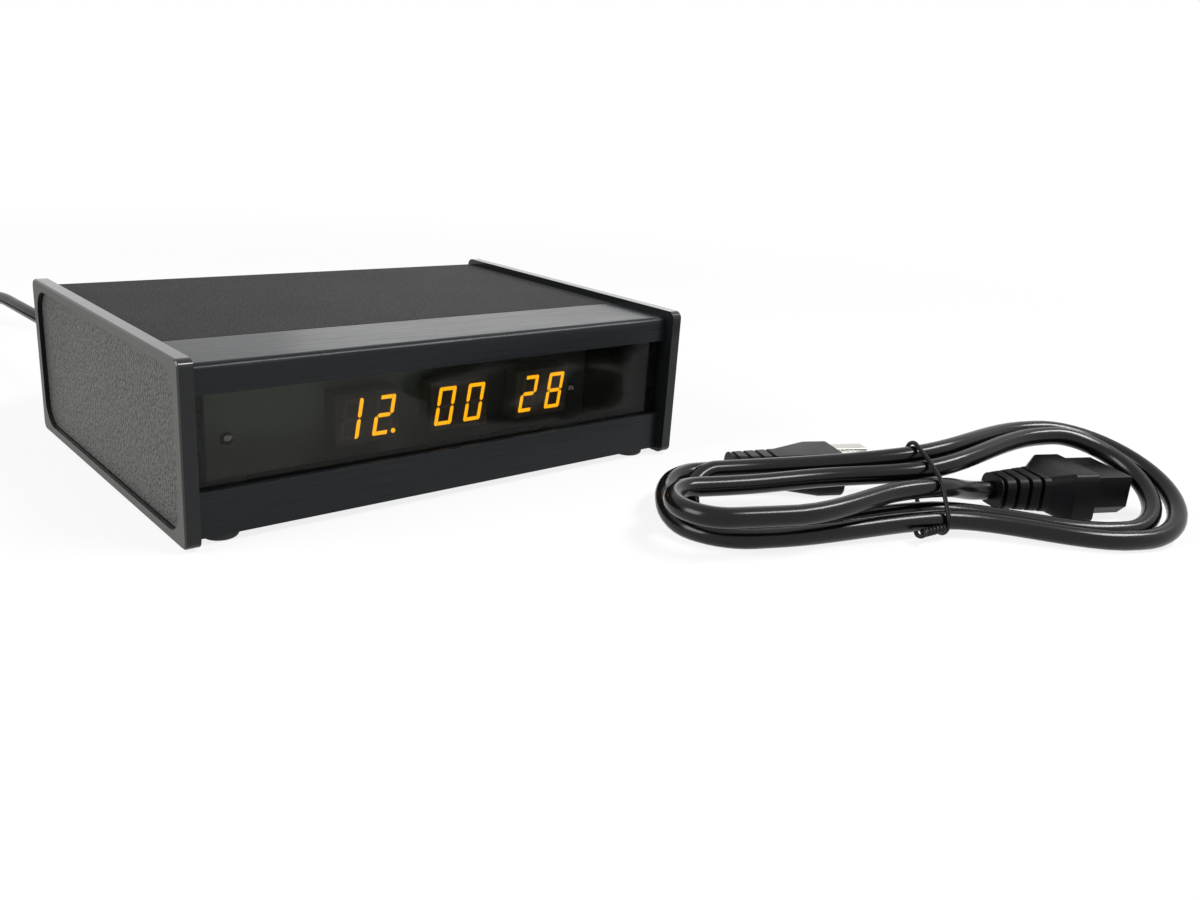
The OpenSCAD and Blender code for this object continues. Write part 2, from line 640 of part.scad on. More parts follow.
// Display modules and their segments
module at_module(m) on_front(display_x + (m - 1) * module_pitch, led_y, display_z) children();
module display_module(m) in_case() at_module(m) block([module_w, module_h, module_t], -module_t);
module hours_module() color([0.23, 0.2, 0.17]) display_module(0);
module minutes_module() color([0.23, 0.2, 0.17]) display_module(1);
module seconds_module() color([0.23, 0.2, 0.17]) display_module(2);
module segments(shows) in_case() for (i = [0:5]) at_module(floor(i / 2))
    translate([(i % 2 - 0.5) * digit_pitch, 0, 0]) linear_extrude(segment_t) {
        for (s = [0:6]) if (is_lit(SHOWN[i], s) == shows) polygon([for (p = SEGMENTS[s]) lean(p)]);
        if ((i == LIT_DOT) == shows)
            translate([hw + dot_out - hh * tan(digit_lean), dot_r - hh]) circle(dot_r);
    }
module lit_segments() color([1, 0.72, 0.05]) segments(true);
module unlit_segments() color([0.2, 0.13, 0.1]) segments(false);

// Ribbon cable from the display board to the main board
module ribbon_headers() color([0.1, 0.1, 0.1]) in_case() {
    translate([header_x - header_w / 2, board_y + board_t, ribbon_z - header_t / 2])
        cube([header_w, header_h, header_t]);
    translate([header_x - header_w / 2, main_y + header_in - header_t / 2, main_top_z])
        cube([header_w, header_t, header_h]);
}
module ribbon_cable() color([0.55, 0.55, 0.57]) in_case()
    translate([header_x - ribbon_w / 2, 0, 0]) along_x(ribbon_w) ribbon_section();
module ribbon_section() {
    from_y = board_y + board_t + header_h;
    down_y = main_y + header_in;
    low_z = main_top_z + header_h;
    translate([from_y, ribbon_z - ribbon_t / 2]) square([down_y - ribbon_r - from_y, ribbon_t]);
    translate([down_y - ribbon_t / 2, low_z]) square([ribbon_t, ribbon_z - ribbon_r - low_z]);
    translate([down_y - ribbon_r, ribbon_z - ribbon_r]) intersection() {
        difference() {
            circle(ribbon_r + ribbon_t / 2);
            circle(ribbon_r - ribbon_t / 2);
        }
        square(2 * ribbon_r);
    }
}

// Main board and what it carries
module at_board_screws() for (x = [main_hole_in, main_w - main_hole_in])
    for (y = [main_hole_in, main_d - main_hole_in]) translate([main_x + x, main_y + y, 0]) children();
module main_board() color([0.12, 0.3, 0.16]) in_case() difference() {
    translate([main_x, main_y, main_z]) cube([main_w, main_d, board_t]);
    at_board_screws() translate([0, 0, main_z - over])
        cylinder(r = screw_r + pass_gap, h = board_t + 2 * over);
}
module board_standoffs() color("silver") in_case() at_board_screws() translate([0, 0, floor_z]) difference() {
    cylinder(r = standoff_r, h = standoff_h);
    translate([0, 0, over]) cylinder(r = screw_r + turn_gap, h = standoff_h);
}
module board_screws() color("silver") in_case() at_board_screws() translate([0, 0, main_top_z]) pan_screw(5);
module chip(pins) {
    pin_step = 2.54;
    l = pins / 2 * pin_step;
    body = [l, 6.4, 3.4];
    seat = 0.6;
    row = 3.81;
    translate([-body[0] / 2, -body[1] / 2, seat]) cube(body);
    for (i = [0:pins / 2 - 1]) translate([(i + 0.5) * pin_step - l / 2 - 0.3, -row, 0])
        cube([0.6, 2 * row, 1.4]);
}
module on_main(x, y) translate([main_x + x, main_y + y, main_top_z]) children();
module on_power() on_main(main_w * 0.873, main_d - 34) children();
module logic_chips() color([0.06, 0.06, 0.06]) in_case() {
    step = main_w * 0.2065;
    for (i = [0:2]) on_main(main_w * 0.19 + step * i, main_d * 0.35) chip(16);
    for (i = [0:1]) on_main(main_w * 0.19 + step * i, main_d * 0.595) chip(14);
    on_main(main_w * 0.76, main_d * 0.35) chip(8);
}
module filter_capacitor() color([0.15, 0.2, 0.4]) in_case()
    on_main(main_w * 0.683, main_d - 22) rotate_extrude()
    polygon([[0, 0], [8, 0], [8, 2], [7.5, 2.6], [8, 3.2], [8, 24], [7.4, 25], [6.4, 25], [6, 24.5],
        [0, 24.5]]);
module heat_sink() color([0.2, 0.2, 0.21]) in_case() on_power() linear_extrude(22) difference() {
    translate([-9, 0]) square([18, 12]);
    for (i = [0:3]) translate([-7.5 + 4 * i, 2.5]) square([3, 12]);
}
module regulator() color([0.08, 0.08, 0.08]) in_case() on_power() {
    translate([-5, -1.3, 4]) cube([10, 1.3, 15.5]);
    translate([-5, -4.5, 4]) cube([10, 3.3, 9]);
    for (x = [-2.54, 0, 2.54]) translate([x - 0.4, -3, 0]) cube([0.8, 0.6, 4]);
}

// Mains transformer on the floor: stacked core with the winding on its middle leg
module at_transformer() translate([-body_w / 2 + transformer_in, transformer_y, floor_z]) children();
module core_windows() for (side = [-1, 1])
    translate([side * (leg_w + yoke_w) / 2 - yoke_w / 2, yoke_w])
        square([yoke_w, transformer_h - 2 * yoke_w]);
module transformer_core() color([0.35, 0.36, 0.38]) in_case() at_transformer() translate([0, stack_t / 2, 0])
    rotate([90, 0, 0]) linear_extrude(stack_t) difference() {
        translate([-transformer_w / 2, 0]) square([transformer_w, transformer_h]);
        core_windows();
    }
module transformer_winding() color([0.55, 0.36, 0.14]) in_case() at_transformer() {
    inner = [leg_w + 2 * winding_gap, stack_t + 2 * winding_gap];
    outer = [leg_w + 2 * yoke_w - 2 * winding_gap, stack_t + 2 * winding_wrap];
    tall = transformer_h - 2 * yoke_w - winding_gap;
    translate([0, 0, yoke_w]) difference() {
        rounded_plate(outer, 3, tall);
        block([inner[0], inner[1], tall + 2 * over], -over);
    }
}

// Mains inlet, and the outline that its connector shares with it
module inlet_outline(gap) {
    w = plug_in[0] / 2 + gap;
    h = plug_in[1] / 2 + gap;
    polygon([[-w, -h], [w, -h], [w, h - plug_cut], [w - plug_cut, h], [plug_cut - w, h], [-w, h - plug_cut]]);
}
module pin_slots(gap, from_z, to_z) for (p = PINS) translate([p[0], p[1] - pin_drop, 0]) {
    wide = pin_size[p[0] == 0 ? 1 : 0] + 2 * gap;
    tall = pin_size[p[0] == 0 ? 0 : 1] + 2 * gap;
    block([wide, tall, to_z - from_z], from_z);
}
module mains_inlet() color([0.07, 0.07, 0.07]) in_case() on_rear(inlet_x) difference() {
    union() {
        rounded_plate(inlet_flange, 2, inlet_flange[2]);
        block(inlet_body, -inlet_body[2]);
    }
    translate([0, 0, -inlet_depth]) linear_extrude(inlet_depth + inlet_flange[2] + over)
        inlet_outline(socket_gap);
    pin_slots(turn_gap, -inlet_body[2] - over, 0);
}
module inlet_pins() color("gainsboro") in_case() on_rear(inlet_x) pin_slots(0, -inlet_body[2] - pin_tail, 0);

// Rocker switch. The rocker turns on two stub trunnions and rests tilted to its on side
module switch_housing() color([0.07, 0.07, 0.07]) in_case() on_rear(switch_x) difference() {
    union() {
        rounded_plate(switch_flange, 1.5, switch_flange[2]);
        block(switch_body, -switch_body[2]);
    }
    block([2 * (rocker_r + rocker_gap), rocker_w + 2 * rocker_gap, 2 * rocker_well],
        rocker_pivot - rocker_well);
    translate([0, 0, rocker_pivot]) rotate([90, 0, 0]) cylinder(r = trunnion_r + turn_gap,
        h = rocker_w + 2 * (rocker_gap + trunnion_l), center = true);
}
module switch_rocker() color([0.12, 0.12, 0.12]) in_case() on_rear(switch_x) translate([0, 0, rocker_pivot])
    rotate([0, rocker_tilt, 0]) {
        rotate([90, 0, 0]) translate([0, 0, -rocker_w / 2]) linear_extrude(rocker_w) intersection() {
            circle(rocker_r);
            polygon([[-9, 4.6], [-9, -1], [-4, -4.5], [4, -4.5], [9, -1], [9, 4.6], [0, 2.8]]);
        }
        rotate([90, 0, 0]) cylinder(r = trunnion_r, h = rocker_w + 2 * trunnion_l, center = true);
    }

// Fuse holder. The cap turns to unlock and carries the fuse link on its stem
module fluted(r, h, count, depth) difference() {
    cylinder(r = r, h = h);
    for (i = [0:count - 1]) rotate(360 * i / count) translate([r, 0, -over])
        cylinder(r = depth, h = h + 2 * over, $fn = 16);
}
module fuse_holder() color([0.07, 0.07, 0.07]) in_case() on_rear(fuse_x) difference() {
    union() {
        cylinder(r = fuse_flange_r, h = fuse_flange_t);
        translate([0, 0, -fuse_body_l]) cylinder(r = fuse_body_r, h = fuse_body_l);
    }
    translate([0, 0, fuse_wall_end - fuse_body_l]) cylinder(r = fuse_bore_r, h = fuse_body_l + fuse_flange_t);
}
module fuse_cap() color([0.1, 0.1, 0.1]) in_case() on_rear(fuse_x) difference() {
    union() {
        translate([0, 0, fuse_flange_t + pass_gap]) fluted(fuse_knob_r, fuse_knob_h, 12, 0.9);
        translate([0, 0, -fuse_stem_l])
            cylinder(r = fuse_bore_r - turn_gap, h = fuse_stem_l + fuse_flange_t + over);
    }
    translate([0, 0, -fuse_stem_l - over]) cylinder(r = fuse_link_r + turn_gap, h = fuse_grip + over);
    translate([0, 0, fuse_flange_t + fuse_knob_h]) block([fuse_knob_r * 1.3, 1.4, 2], -over);
}
module fuse_link() color([0.75, 0.75, 0.72]) in_case() on_rear(fuse_x)
    translate([0, 0, fuse_grip - fuse_stem_l - fuse_link_l]) cylinder(r = fuse_link_r, h = fuse_link_l);

// Brightness control
module brightness_control() color([0.4, 0.4, 0.42]) in_case() on_rear(knob_x) difference() {
    union() {
        translate([0, 0, -rear_panel_t - pot_l]) cylinder(r = pot_r, h = pot_l);
        translate([0, 0, -rear_panel_t]) cylinder(r = bush_r, h = rear_panel_t + bush_out);
    }
    translate([0, 0, over - rear_panel_t - pot_l])
        cylinder(r = shaft_r + turn_gap, h = pot_l + rear_panel_t + bush_out);
}
module brightness_shaft() color("silver") in_case() on_rear(knob_x)
    translate([0, 0, over + turn_gap - rear_panel_t - pot_l])
    cylinder(r = shaft_r, h = pot_l + rear_panel_t + shaft_out - over - turn_gap);
module brightness_knob() color([0.08, 0.08, 0.08]) in_case() on_rear(knob_x)
    translate([0, 0, bush_out + pass_gap]) difference() {
        fluted(knob_r, knob_h, knob_flutes, flute_r);
        translate([0, 0, -over]) cylinder(r = shaft_r + turn_gap, h = shaft_out - bush_out - pass_gap + over);
        translate([0, knob_r / 2 + over, knob_h]) block([1, knob_r, 1], -over / 2);
    }

// Time code jacks with their bayonet lugs, and the nuts behind and before the panel
module jack() difference() {
    post_r = 2.4;
    mouth = 8;
    union() {
        translate([0, 0, -rear_panel_t - thread_l]) cylinder(r = thread_r, h = rear_panel_t + thread_l);
        cylinder(r = jack_flange_r, h = jack_flange_t);
        cylinder(r = jack_r, h = jack_out);
        translate([0, 0, jack_out - lug_back]) rotate([0, 90, 0])
            cylinder(r = lug_r, h = 2 * (jack_r + lug_out), center = true);
        translate([0, 0, -rear_panel_t - thread_l - 5]) cylinder(r = 0.7, h = 6);
    }
    translate([0, 0, jack_out - mouth]) difference() {
        cylinder(r = jack_r - 0.8, h = mouth + over);
        cylinder(r = post_r, h = mouth - over);
    }
    translate([0, 0, jack_out - mouth]) cylinder(r = 0.7, h = mouth);
}
module code_input_jack() color([0.75, 0.75, 0.74]) in_case() on_rear(input_x) jack();
module code_loop_jack() color([0.75, 0.75, 0.74]) in_case() on_rear(loop_x) jack();
module nut(hole_r) difference() {
    cylinder(r = (hole_r + nut_wall) / cos(30), h = nut_t, $fn = 6);
    translate([0, 0, -over]) cylinder(r = hole_r + turn_gap, h = nut_t + 2 * over);
}
module panel_nuts() color("silver") in_case() {
    for (x = [input_x, loop_x]) on_rear(x) translate([0, 0, -rear_panel_t - nut_t]) nut(thread_r);
    on_rear(fuse_x) translate([0, 0, -rear_panel_t - nut_t]) nut(fuse_body_r);
    on_rear(knob_x) nut(bush_r);
}

// Connector of a lead, seated in the inlet, with the cord leaving along +Z
module relief(size, cord_r, l) difference() {
    hull() {
        rounded_plate(size, 3, 0.5, $fn = hull_fn);
        translate([0, 0, l - 0.5]) rounded_plate([2 * (cord_r + relief_wall) + relief_flat,
            2 * (cord_r + relief_wall)], 4, 0.5, $fn = hull_fn);
    }
    for (i = [0:relief_slots - 1])
        translate([0, 0, (i + 0.7) * l / relief_slots - relief_slot_t / 2]) difference() {
            block([2 * size[0], 2 * size[1], relief_slot_t], 0);
            translate([0, 0, -over]) cylinder(r = cord_r + relief_wall / 3, h = relief_slot_t + 2 * over);
        }
}
module connector(d) {
    base = inlet_flange[2];
    difference() {
        translate([0, 0, pass_gap - inlet_depth]) linear_extrude(inlet_depth + inlet_flange[2] + over)
            inlet_outline(0);
        pin_slots(slot_gap, -inlet_depth - over, slot_gap);
    }
    hull() {
        translate([0, 0, base]) rounded_plate(connector_out, 2.5, connector_body_l - 7, $fn = hull_fn);
        translate([0, 0, base]) rounded_plate(relief_size, 3, connector_body_l, $fn = hull_fn);
    }
    translate([0, 0, base + connector_body_l]) relief(relief_size, d / 2, relief_l);
}
module lead_connector() color([0.06, 0.06, 0.06]) in_case() on_rear(inlet_x) connector(lead_d);
module spare_connector() color([0.06, 0.06, 0.06]) in_hank()
    translate(connector_exit + [connector_back, 0, 0]) rotate([0, -90, 0]) rotate(90) connector(spare_d);

// Mains plug, with the cord leaving along +Z and its blades side by side along X
module plug_body(d) {
    difference() {
        hull() {
            rounded_plate(plug_out, plug_r, plug_body_l * 0.4, $fn = hull_fn);
            rounded_plate(plug_relief, 3, plug_body_l, $fn = hull_fn);
        }
        plug_metal(turn_gap);
    }
    translate([0, 0, plug_body_l]) relief(plug_relief, d / 2, plug_relief_l);
}
module plug_metal(gap) {
    root = 5;
    for (side = [-1, 1]) translate([side * blade_pitch / 2, plug_shift, 0])
        block([blade_size[0] + 2 * gap, blade_size[1] + 2 * gap, blade_size[2] + root + gap], -blade_size[2]);
    translate([0, plug_shift - ground_off, -ground_l])
        cylinder(r = ground_r + gap, h = ground_l + root + gap);
}
module at_lead_plug() translate(lead_plug_at - [0, plug_back, 0]) rotate([-90, 0, 0]) rotate(90) children();
module at_spare_plug() in_hank() translate(plug_exit + [plug_back, 0, 0]) rotate([0, -90, 0]) children();
module lead_plug() color([0.06, 0.06, 0.06]) at_lead_plug() plug_body(lead_d);
module lead_blades() color("gainsboro") at_lead_plug() plug_metal(0);
module spare_plug() color([0.06, 0.06, 0.06]) at_spare_plug() plug_body(spare_d);
module spare_blades() color("gainsboro") at_spare_plug() plug_metal(0);

// Leads and their ties
module lead_stretch() color([0.05, 0.05, 0.05]) tube(lead_path, lead_d, 8);
module lead_coil() color([0.05, 0.05, 0.05]) tube(coil_path, lead_d, 6);
module spare_hank() color([0.05, 0.05, 0.05]) in_hank() tube(hank_path, spare_d, 6);
module wire_loop(low, high, top) {
    r = 2.5 * tie_d;
    y = [low - tie_d / 2, high + tie_d / 2];
    z = [tie_d / 2, top + tie_d / 2];
    inner_y = [y[0] + r, y[1] - r];
    inner_z = [z[0] + r, z[1] - r];
    for (c = [[0, 0, 180], [1, 0, 270], [1, 1, 0], [0, 1, 90]])
        translate([0, inner_y[c[0]], inner_z[c[1]]]) rotate([90, 0, 90]) rotate(c[2])
        rotate_extrude(angle = 90) translate([r, 0]) circle(tie_d / 2);
    for (i = [0, 1]) {
        translate([0, inner_y[0], z[i]]) rotate([-90, 0, 0])
            cylinder(r = tie_d / 2, h = inner_y[1] - inner_y[0]);
        translate([0, y[i], inner_z[0]]) cylinder(r = tie_d / 2, h = inner_z[1] - inner_z[0]);
    }
}
module round_strands(gap) hull() for (p = hank_crossings) translate([p[1], p[2]])
    circle(spare_d / 2 + gap, $fn = hull_fn);
module spare_tie() color([0.04, 0.04, 0.04]) in_hank() rotate([90, 0, 90])
    linear_extrude(tie_d, center = true) difference() {
        round_strands(tie_gap + tie_d);
        round_strands(tie_gap);
    }
module lead_tie() color([0.04, 0.04, 0.04]) translate([coil_at[0], coil_at[1], 0])
    rotate(360 * coil_tie_turn) wire_loop(coil_tie_in, coil_tie_out, coil_tie_top);

left_end_cap();
right_end_cap();
left_end_panel();
right_end_panel();
end_cap_screws();
front_top_rail();
front_bottom_rail();
rear_top_rail();
rear_bottom_rail();
top_cover();
bottom_cover();
smoked_window();
rear_panel();
rubber_feet();
display_board();
display_brackets();
display_screws();
hours_module();
minutes_module();
seconds_module();
lit_segments();
unlit_segments();
ribbon_headers();
ribbon_cable();
main_board();
board_standoffs();
board_screws();
logic_chips();
filter_capacitor();
regulator();
heat_sink();
transformer_core();
transformer_winding();
mains_inlet();
inlet_pins();
switch_housing();
switch_rocker();
fuse_holder();
fuse_cap();
fuse_link();
brightness_control();
brightness_shaft();
brightness_knob();
code_input_jack();
code_loop_jack();
panel_nuts();
lead_connector();
lead_stretch();
lead_coil();
lead_tie();
lead_plug();
lead_blades();
spare_hank();
spare_connector();
spare_plug();
spare_blades();
spare_tie();
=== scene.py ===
"""Looks of a desktop time code display unit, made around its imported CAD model.

The file is laid out as an add-on and run as a script. It keeps to the CAD frame: +X to the
right seen from the front, +Y to the rear, +Z up. Lengths are in metres, apart from the routes
of the two leads, which are in millimetres as in the part's source.
"""

import json
import math

import bmesh
import bpy
from bpy.props import FloatProperty, FloatVectorProperty, PointerProperty
from mathutils import Matrix, Vector
from mathutils.geometry import convex_hull_2d

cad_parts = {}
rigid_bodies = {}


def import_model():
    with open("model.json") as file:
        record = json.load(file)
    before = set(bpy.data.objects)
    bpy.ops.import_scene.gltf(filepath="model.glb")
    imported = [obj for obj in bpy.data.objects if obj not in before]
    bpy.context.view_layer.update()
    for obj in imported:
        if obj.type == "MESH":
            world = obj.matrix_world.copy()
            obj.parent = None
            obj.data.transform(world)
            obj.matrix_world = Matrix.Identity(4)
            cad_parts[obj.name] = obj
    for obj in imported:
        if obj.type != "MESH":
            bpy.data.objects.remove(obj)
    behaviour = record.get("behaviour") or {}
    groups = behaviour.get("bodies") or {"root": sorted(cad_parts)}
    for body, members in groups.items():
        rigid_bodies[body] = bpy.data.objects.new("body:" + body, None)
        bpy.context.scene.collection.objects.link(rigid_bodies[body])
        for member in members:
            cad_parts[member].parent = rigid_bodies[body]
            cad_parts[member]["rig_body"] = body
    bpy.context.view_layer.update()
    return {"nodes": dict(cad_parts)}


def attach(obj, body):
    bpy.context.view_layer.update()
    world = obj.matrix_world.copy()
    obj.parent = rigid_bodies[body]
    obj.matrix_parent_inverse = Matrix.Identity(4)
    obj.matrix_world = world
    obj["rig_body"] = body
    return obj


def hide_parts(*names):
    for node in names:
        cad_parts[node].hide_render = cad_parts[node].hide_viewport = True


bl_info = {
    "name": "Time code display unit",
    "version": (1, 0, 0),
    "blender": (4, 5, 0),
    "location": "View3D > Sidebar > Display unit",
    "description": "Dresses the display unit, its window, its digits and its two leads",
    "category": "Object",
}

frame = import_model()
MM = 0.001


def colour_prop(name, words, default):
    """A colour that the user can change."""
    return FloatVectorProperty(
        name=name, description=words, default=default, subtype="COLOR", min=0, max=1
    )


def length_prop(name, words, default):
    """A length that the user can change."""
    return FloatProperty(
        name=name, description=words, default=default, min=0.0, unit="LENGTH", precision=5
    )


def power_prop(name, words, default):
    """A lamp's power that the user can change."""
    return FloatProperty(name=name, description=words, default=default, min=0, unit="POWER")


class CaseLook(bpy.types.PropertyGroup):
    """Colours and edges of the case."""

    # The caps' colour is that of their outer sides, painted paler as lit.
    cap: colour_prop("End caps", "Moulded end caps", (0.065, 0.065, 0.06))
    panel: colour_prop("End panels", "Pebbled panels in the end caps", (0.046, 0.046, 0.042))
    rail: colour_prop("Rails", "Brushed anodised rails", (0.0085, 0.0108, 0.0128))
    cover: colour_prop("Covers", "Grained covers and rear panel", (0.0195, 0.0208, 0.0192))
    edge: length_prop("Edge round", "Rounding of the case's sharp edges", 0.0004)


class DisplayLook(bpy.types.PropertyGroup):
    """Window and digits."""

    window: colour_prop("Window", "Tint of the smoked window", (0.006, 0.007, 0.005))
    density: FloatProperty(
        name="Density", description="Light held back by each face of the window",
        default=0.5, min=0, max=1, subtype="FACTOR",
    )
    lit: colour_prop("Lit segments", "Glow of the lit segments", (1.0, 0.43, 0.003))
    glow: FloatProperty(
        name="Glow", description="Strength of the lit segments", default=4.8, min=0, max=20
    )
    body: colour_prop("Modules", "Faces of the display modules", (0.255, 0.21, 0.153))


class LeadLook(bpy.types.PropertyGroup):
    """The two mains leads."""

    jacket: colour_prop("Jackets", "Leads, connectors and plugs", (0.0028, 0.003, 0.0036))
    lead: length_prop("Lead", "Diameter of the lead that is plugged in", 0.006)
    spare: length_prop("Spare lead", "Diameter of the tied lead", 0.0072)
    tie: length_prop("Tie", "Diameter of the ties' wire", 0.0016)


class StageLook(bpy.types.PropertyGroup):
    """Floor and light."""

    floor: colour_prop("Floor", "Pale floor", (0.94, 0.94, 0.94))
    shadow: FloatProperty(
        name="Shadow", description="Share of its shadows that the floor shows",
        default=0.16, min=0, max=1, subtype="FACTOR",
    )
    side: power_prop("Side lamp", "Power of the lamp at the left", 13.0)
    top: power_prop("Upper lamp", "Power of the lamp above", 14.0)
    rear: power_prop("Rear lamp", "Power of the lamp behind", 1.1)
    sky: FloatProperty(
        name="Sky", description="Even light from all round", default=0.25, min=0, max=2
    )


# Shader expressions
class Wire:
    """An output socket that takes part in Python sums."""

    def __init__(self, tree, socket):
        self.tree = tree
        self.socket = socket

    def _math(self, operation, a, b):
        return self.tree.node("ShaderNodeMath", {"operation": operation}, {0: a, 1: b})

    def __add__(self, other):
        return self._math("ADD", self, other)

    def __radd__(self, other):
        return self._math("ADD", other, self)

    def __sub__(self, other):
        return self._math("SUBTRACT", self, other)

    def __rsub__(self, other):
        return self._math("SUBTRACT", other, self)

    def __mul__(self, other):
        return self._math("MULTIPLY", self, other)

    def __rmul__(self, other):
        return self._math("MULTIPLY", other, self)

    def __or__(self, other):
        return self._math("MAXIMUM", self, other)


class NodeTree:
    """The nodes of a material or of the world."""

    def __init__(self, owner):
        owner.use_nodes = True
        self.nodes = owner.node_tree.nodes
        self.links = owner.node_tree.links

    def node(self, kind, settings=None, sockets=None, output=0):
        """Adds a node, sets it up, fills its sockets and gives one of its outputs."""
        made = self.nodes.new(kind)
        for key, value in (settings or {}).items():
            if key == "stops":
                self._stops(made.color_ramp, value)
            else:
                setattr(made, key, value)
        for key, value in (sockets or {}).items():
            self.fill(made.inputs[key], value)
        return Wire(self, made.outputs[output])

    def fill(self, socket, value):
        """Gives a socket a link or a constant."""
        if isinstance(value, Wire):
            self.links.new(value.socket, socket)
        else:
            socket.default_value = value

    @staticmethod
    def _stops(ramp, stops):
        for element, (place, level) in zip(ramp.elements, stops):
            element.position = place
            element.color = (level, level, level, 1)

    def seen(self):
        """1 for what the camera, a gloss or a clear sheet shows, 0 for light on the object."""
        rays = [self.node("ShaderNodeLightPath", output=name) for name in
                ("Is Camera Ray", "Is Glossy Ray", "Is Transmission Ray")]
        return rays[0] | rays[1] | rays[2]


class Finish(NodeTree):
    """A material of one principled shader and the nodes that feed it."""

    def __init__(self, name, sockets):
        self.name = name
        self.material = bpy.data.materials.new(name)
        super().__init__(self.material)
        self.shader = self.nodes["Principled BSDF"]
        for key, value in sockets.items():
            self.shader.inputs[key].default_value = value

    def place(self, stretch=(1, 1, 1)):
        """Points of the piece itself, in metres, drawn out by stretch."""
        own = self.node("ShaderNodeTexCoord", output="Object")
        return self.node("ShaderNodeMapping", {}, {"Vector": own, "Scale": stretch})

    def along(self, axis):
        """Distance from the piece's origin along one axis, in metres."""
        return self.node("ShaderNodeSeparateXYZ", {}, {0: self.place()}, output=axis)

    def noise(self, scale, detail=2.0, stretch=(1, 1, 1)):
        """Cloudy mask from 0 to 1."""
        return self.node(
            "ShaderNodeTexNoise", {},
            {"Vector": self.place(stretch), "Scale": scale, "Detail": detail},
        )

    def cells(self, scale, feature="SMOOTH_F1"):
        """Rounded cells, as distance from each cell's middle."""
        return self.node(
            "ShaderNodeTexVoronoi", {"feature": feature}, {"Vector": self.place(), "Scale": scale}
        )

    def ramp(self, mask, low, high):
        """The mask drawn out so that low becomes 0 and high becomes 1."""
        stops = [(low, 0.0), (high, 1.0)]
        return self.node("ShaderNodeValToRGB", {"stops": stops}, {"Fac": mask})

    def tint(self, mask, dark, light):
        """Colour that goes from dark to light with the mask."""
        return self.node(
            "ShaderNodeMix", {"data_type": "RGBA"},
            {"Factor": mask, 6: (*dark, 1), 7: (*light, 1)}, output=2,
        )

    def feed(self, key, wire):
        """Gives one of the shader's sockets a varying value."""
        self.fill(self.shader.inputs[key], wire)

    def relief(self, height, distance, strength=1.0):
        """Lets height stand out of the surface by up to distance."""
        bump = self.node(
            "ShaderNodeBump", {}, {"Height": height, "Distance": distance, "Strength": strength}
        )
        self.feed("Normal", bump)


def shade(colour, factor):
    """The colour made lighter or darker."""
    return tuple(min(1.0, factor * channel) for channel in colour)


FINISHES = {}


def keep(finish):
    """Keeps a finish under its name."""
    FINISHES[finish.name] = finish.material


def moulded(name, colour, rough, grain=2600.0, depth=0.00005, gloss=0.4):
    """Moulded plastic: a fine even grain, cloudy gloss and slightly uneven colour."""
    made = Finish(name, {"Specular IOR Level": gloss})
    cloud = made.noise(45.0, 3.0)
    fine = made.noise(grain, 2.0)
    made.feed("Base Color", made.tint(cloud, shade(colour, 0.88), shade(colour, 1.12)))
    made.feed("Roughness", rough - 0.05 + 0.1 * made.noise(90.0) + 0.06 * (fine - 0.5))
    made.relief(fine, depth)
    keep(made)


def cap_with_painted_light(name, colour, edge):
    """Moulding of the end caps: satin on the outer sides and polished round the edges, the outer
    sides painted paler as lit and the edges painted darker as shade.
    """
    made = Finish(name, {"Specular IOR Level": 0.12, "Coat Roughness": 0.1})
    facing = made.node("ShaderNodeTexCoord", output="Normal")
    across = made.node("ShaderNodeSeparateXYZ", {}, {0: facing}, output="X")
    up = made.node("ShaderNodeSeparateXYZ", {}, {0: facing}, output="Z")
    outward = across * made.along("X") * 10
    side = made.ramp(outward, 0.6, 0.9)
    fine = made.noise(3000.0)
    # Painted light and shade: the outer sides get the paler colour as lit, and the front and top
    # edges get the dark edge colour as shade.
    made.feed("Base Color", made.tint(side, edge, colour))
    made.feed("Roughness", 0.16 + 0.3 * side + 0.08 * made.noise(90.0) + 0.04 * fine)
    made.feed("Coat Weight", (0.3 + 0.4 * made.ramp(up, 0.1, 0.5)) * (1 - 0.9 * side))
    made.relief(side * fine, 0.00005)
    keep(made)


def pebbled(name, colour):
    """Coarse pebble grain of the end panels, with painted light on each pebble's top and painted
    shade between the pebbles.
    """
    made = Finish(name, {"Specular IOR Level": 0.3})
    pebbles = 1 - made.cells(1150.0)
    fine = made.noise(3200.0)
    lit_smooth_tops = made.ramp(pebbles + 0.3 * (fine - 0.5), 0.35, 0.95)
    # Painted highlight on the pebbles' tops and painted shade in the gaps between them.
    made.feed("Base Color", made.tint(lit_smooth_tops, shade(colour, 0.35), shade(colour, 1.75)))
    made.feed("Roughness", 0.52 - 0.18 * lit_smooth_tops)
    made.relief(pebbles + 0.35 * fine, 0.0007)
    keep(made)


def brushed(name, colour, rough=0.3):
    """Black anodised metal brushed along its length."""
    made = Finish(name, {"Specular IOR Level": 0.12, "Coat Weight": 0.1, "Coat Roughness": 0.14})
    hair = made.noise(1.0, 2.0, (50.0, 2800.0, 2800.0))
    streak = made.noise(1.0, 3.0, (20.0, 700.0, 700.0))
    cloud = made.noise(30.0)
    lines = made.ramp(0.6 * hair + 0.4 * streak, 0.32, 0.68)
    made.feed("Base Color", made.tint(lines, shade(colour, 0.72), shade(colour, 1.3)))
    made.feed("Roughness", rough - 0.08 + 0.14 * lines + 0.05 * cloud)
    made.relief(lines, 0.00003)
    keep(made)


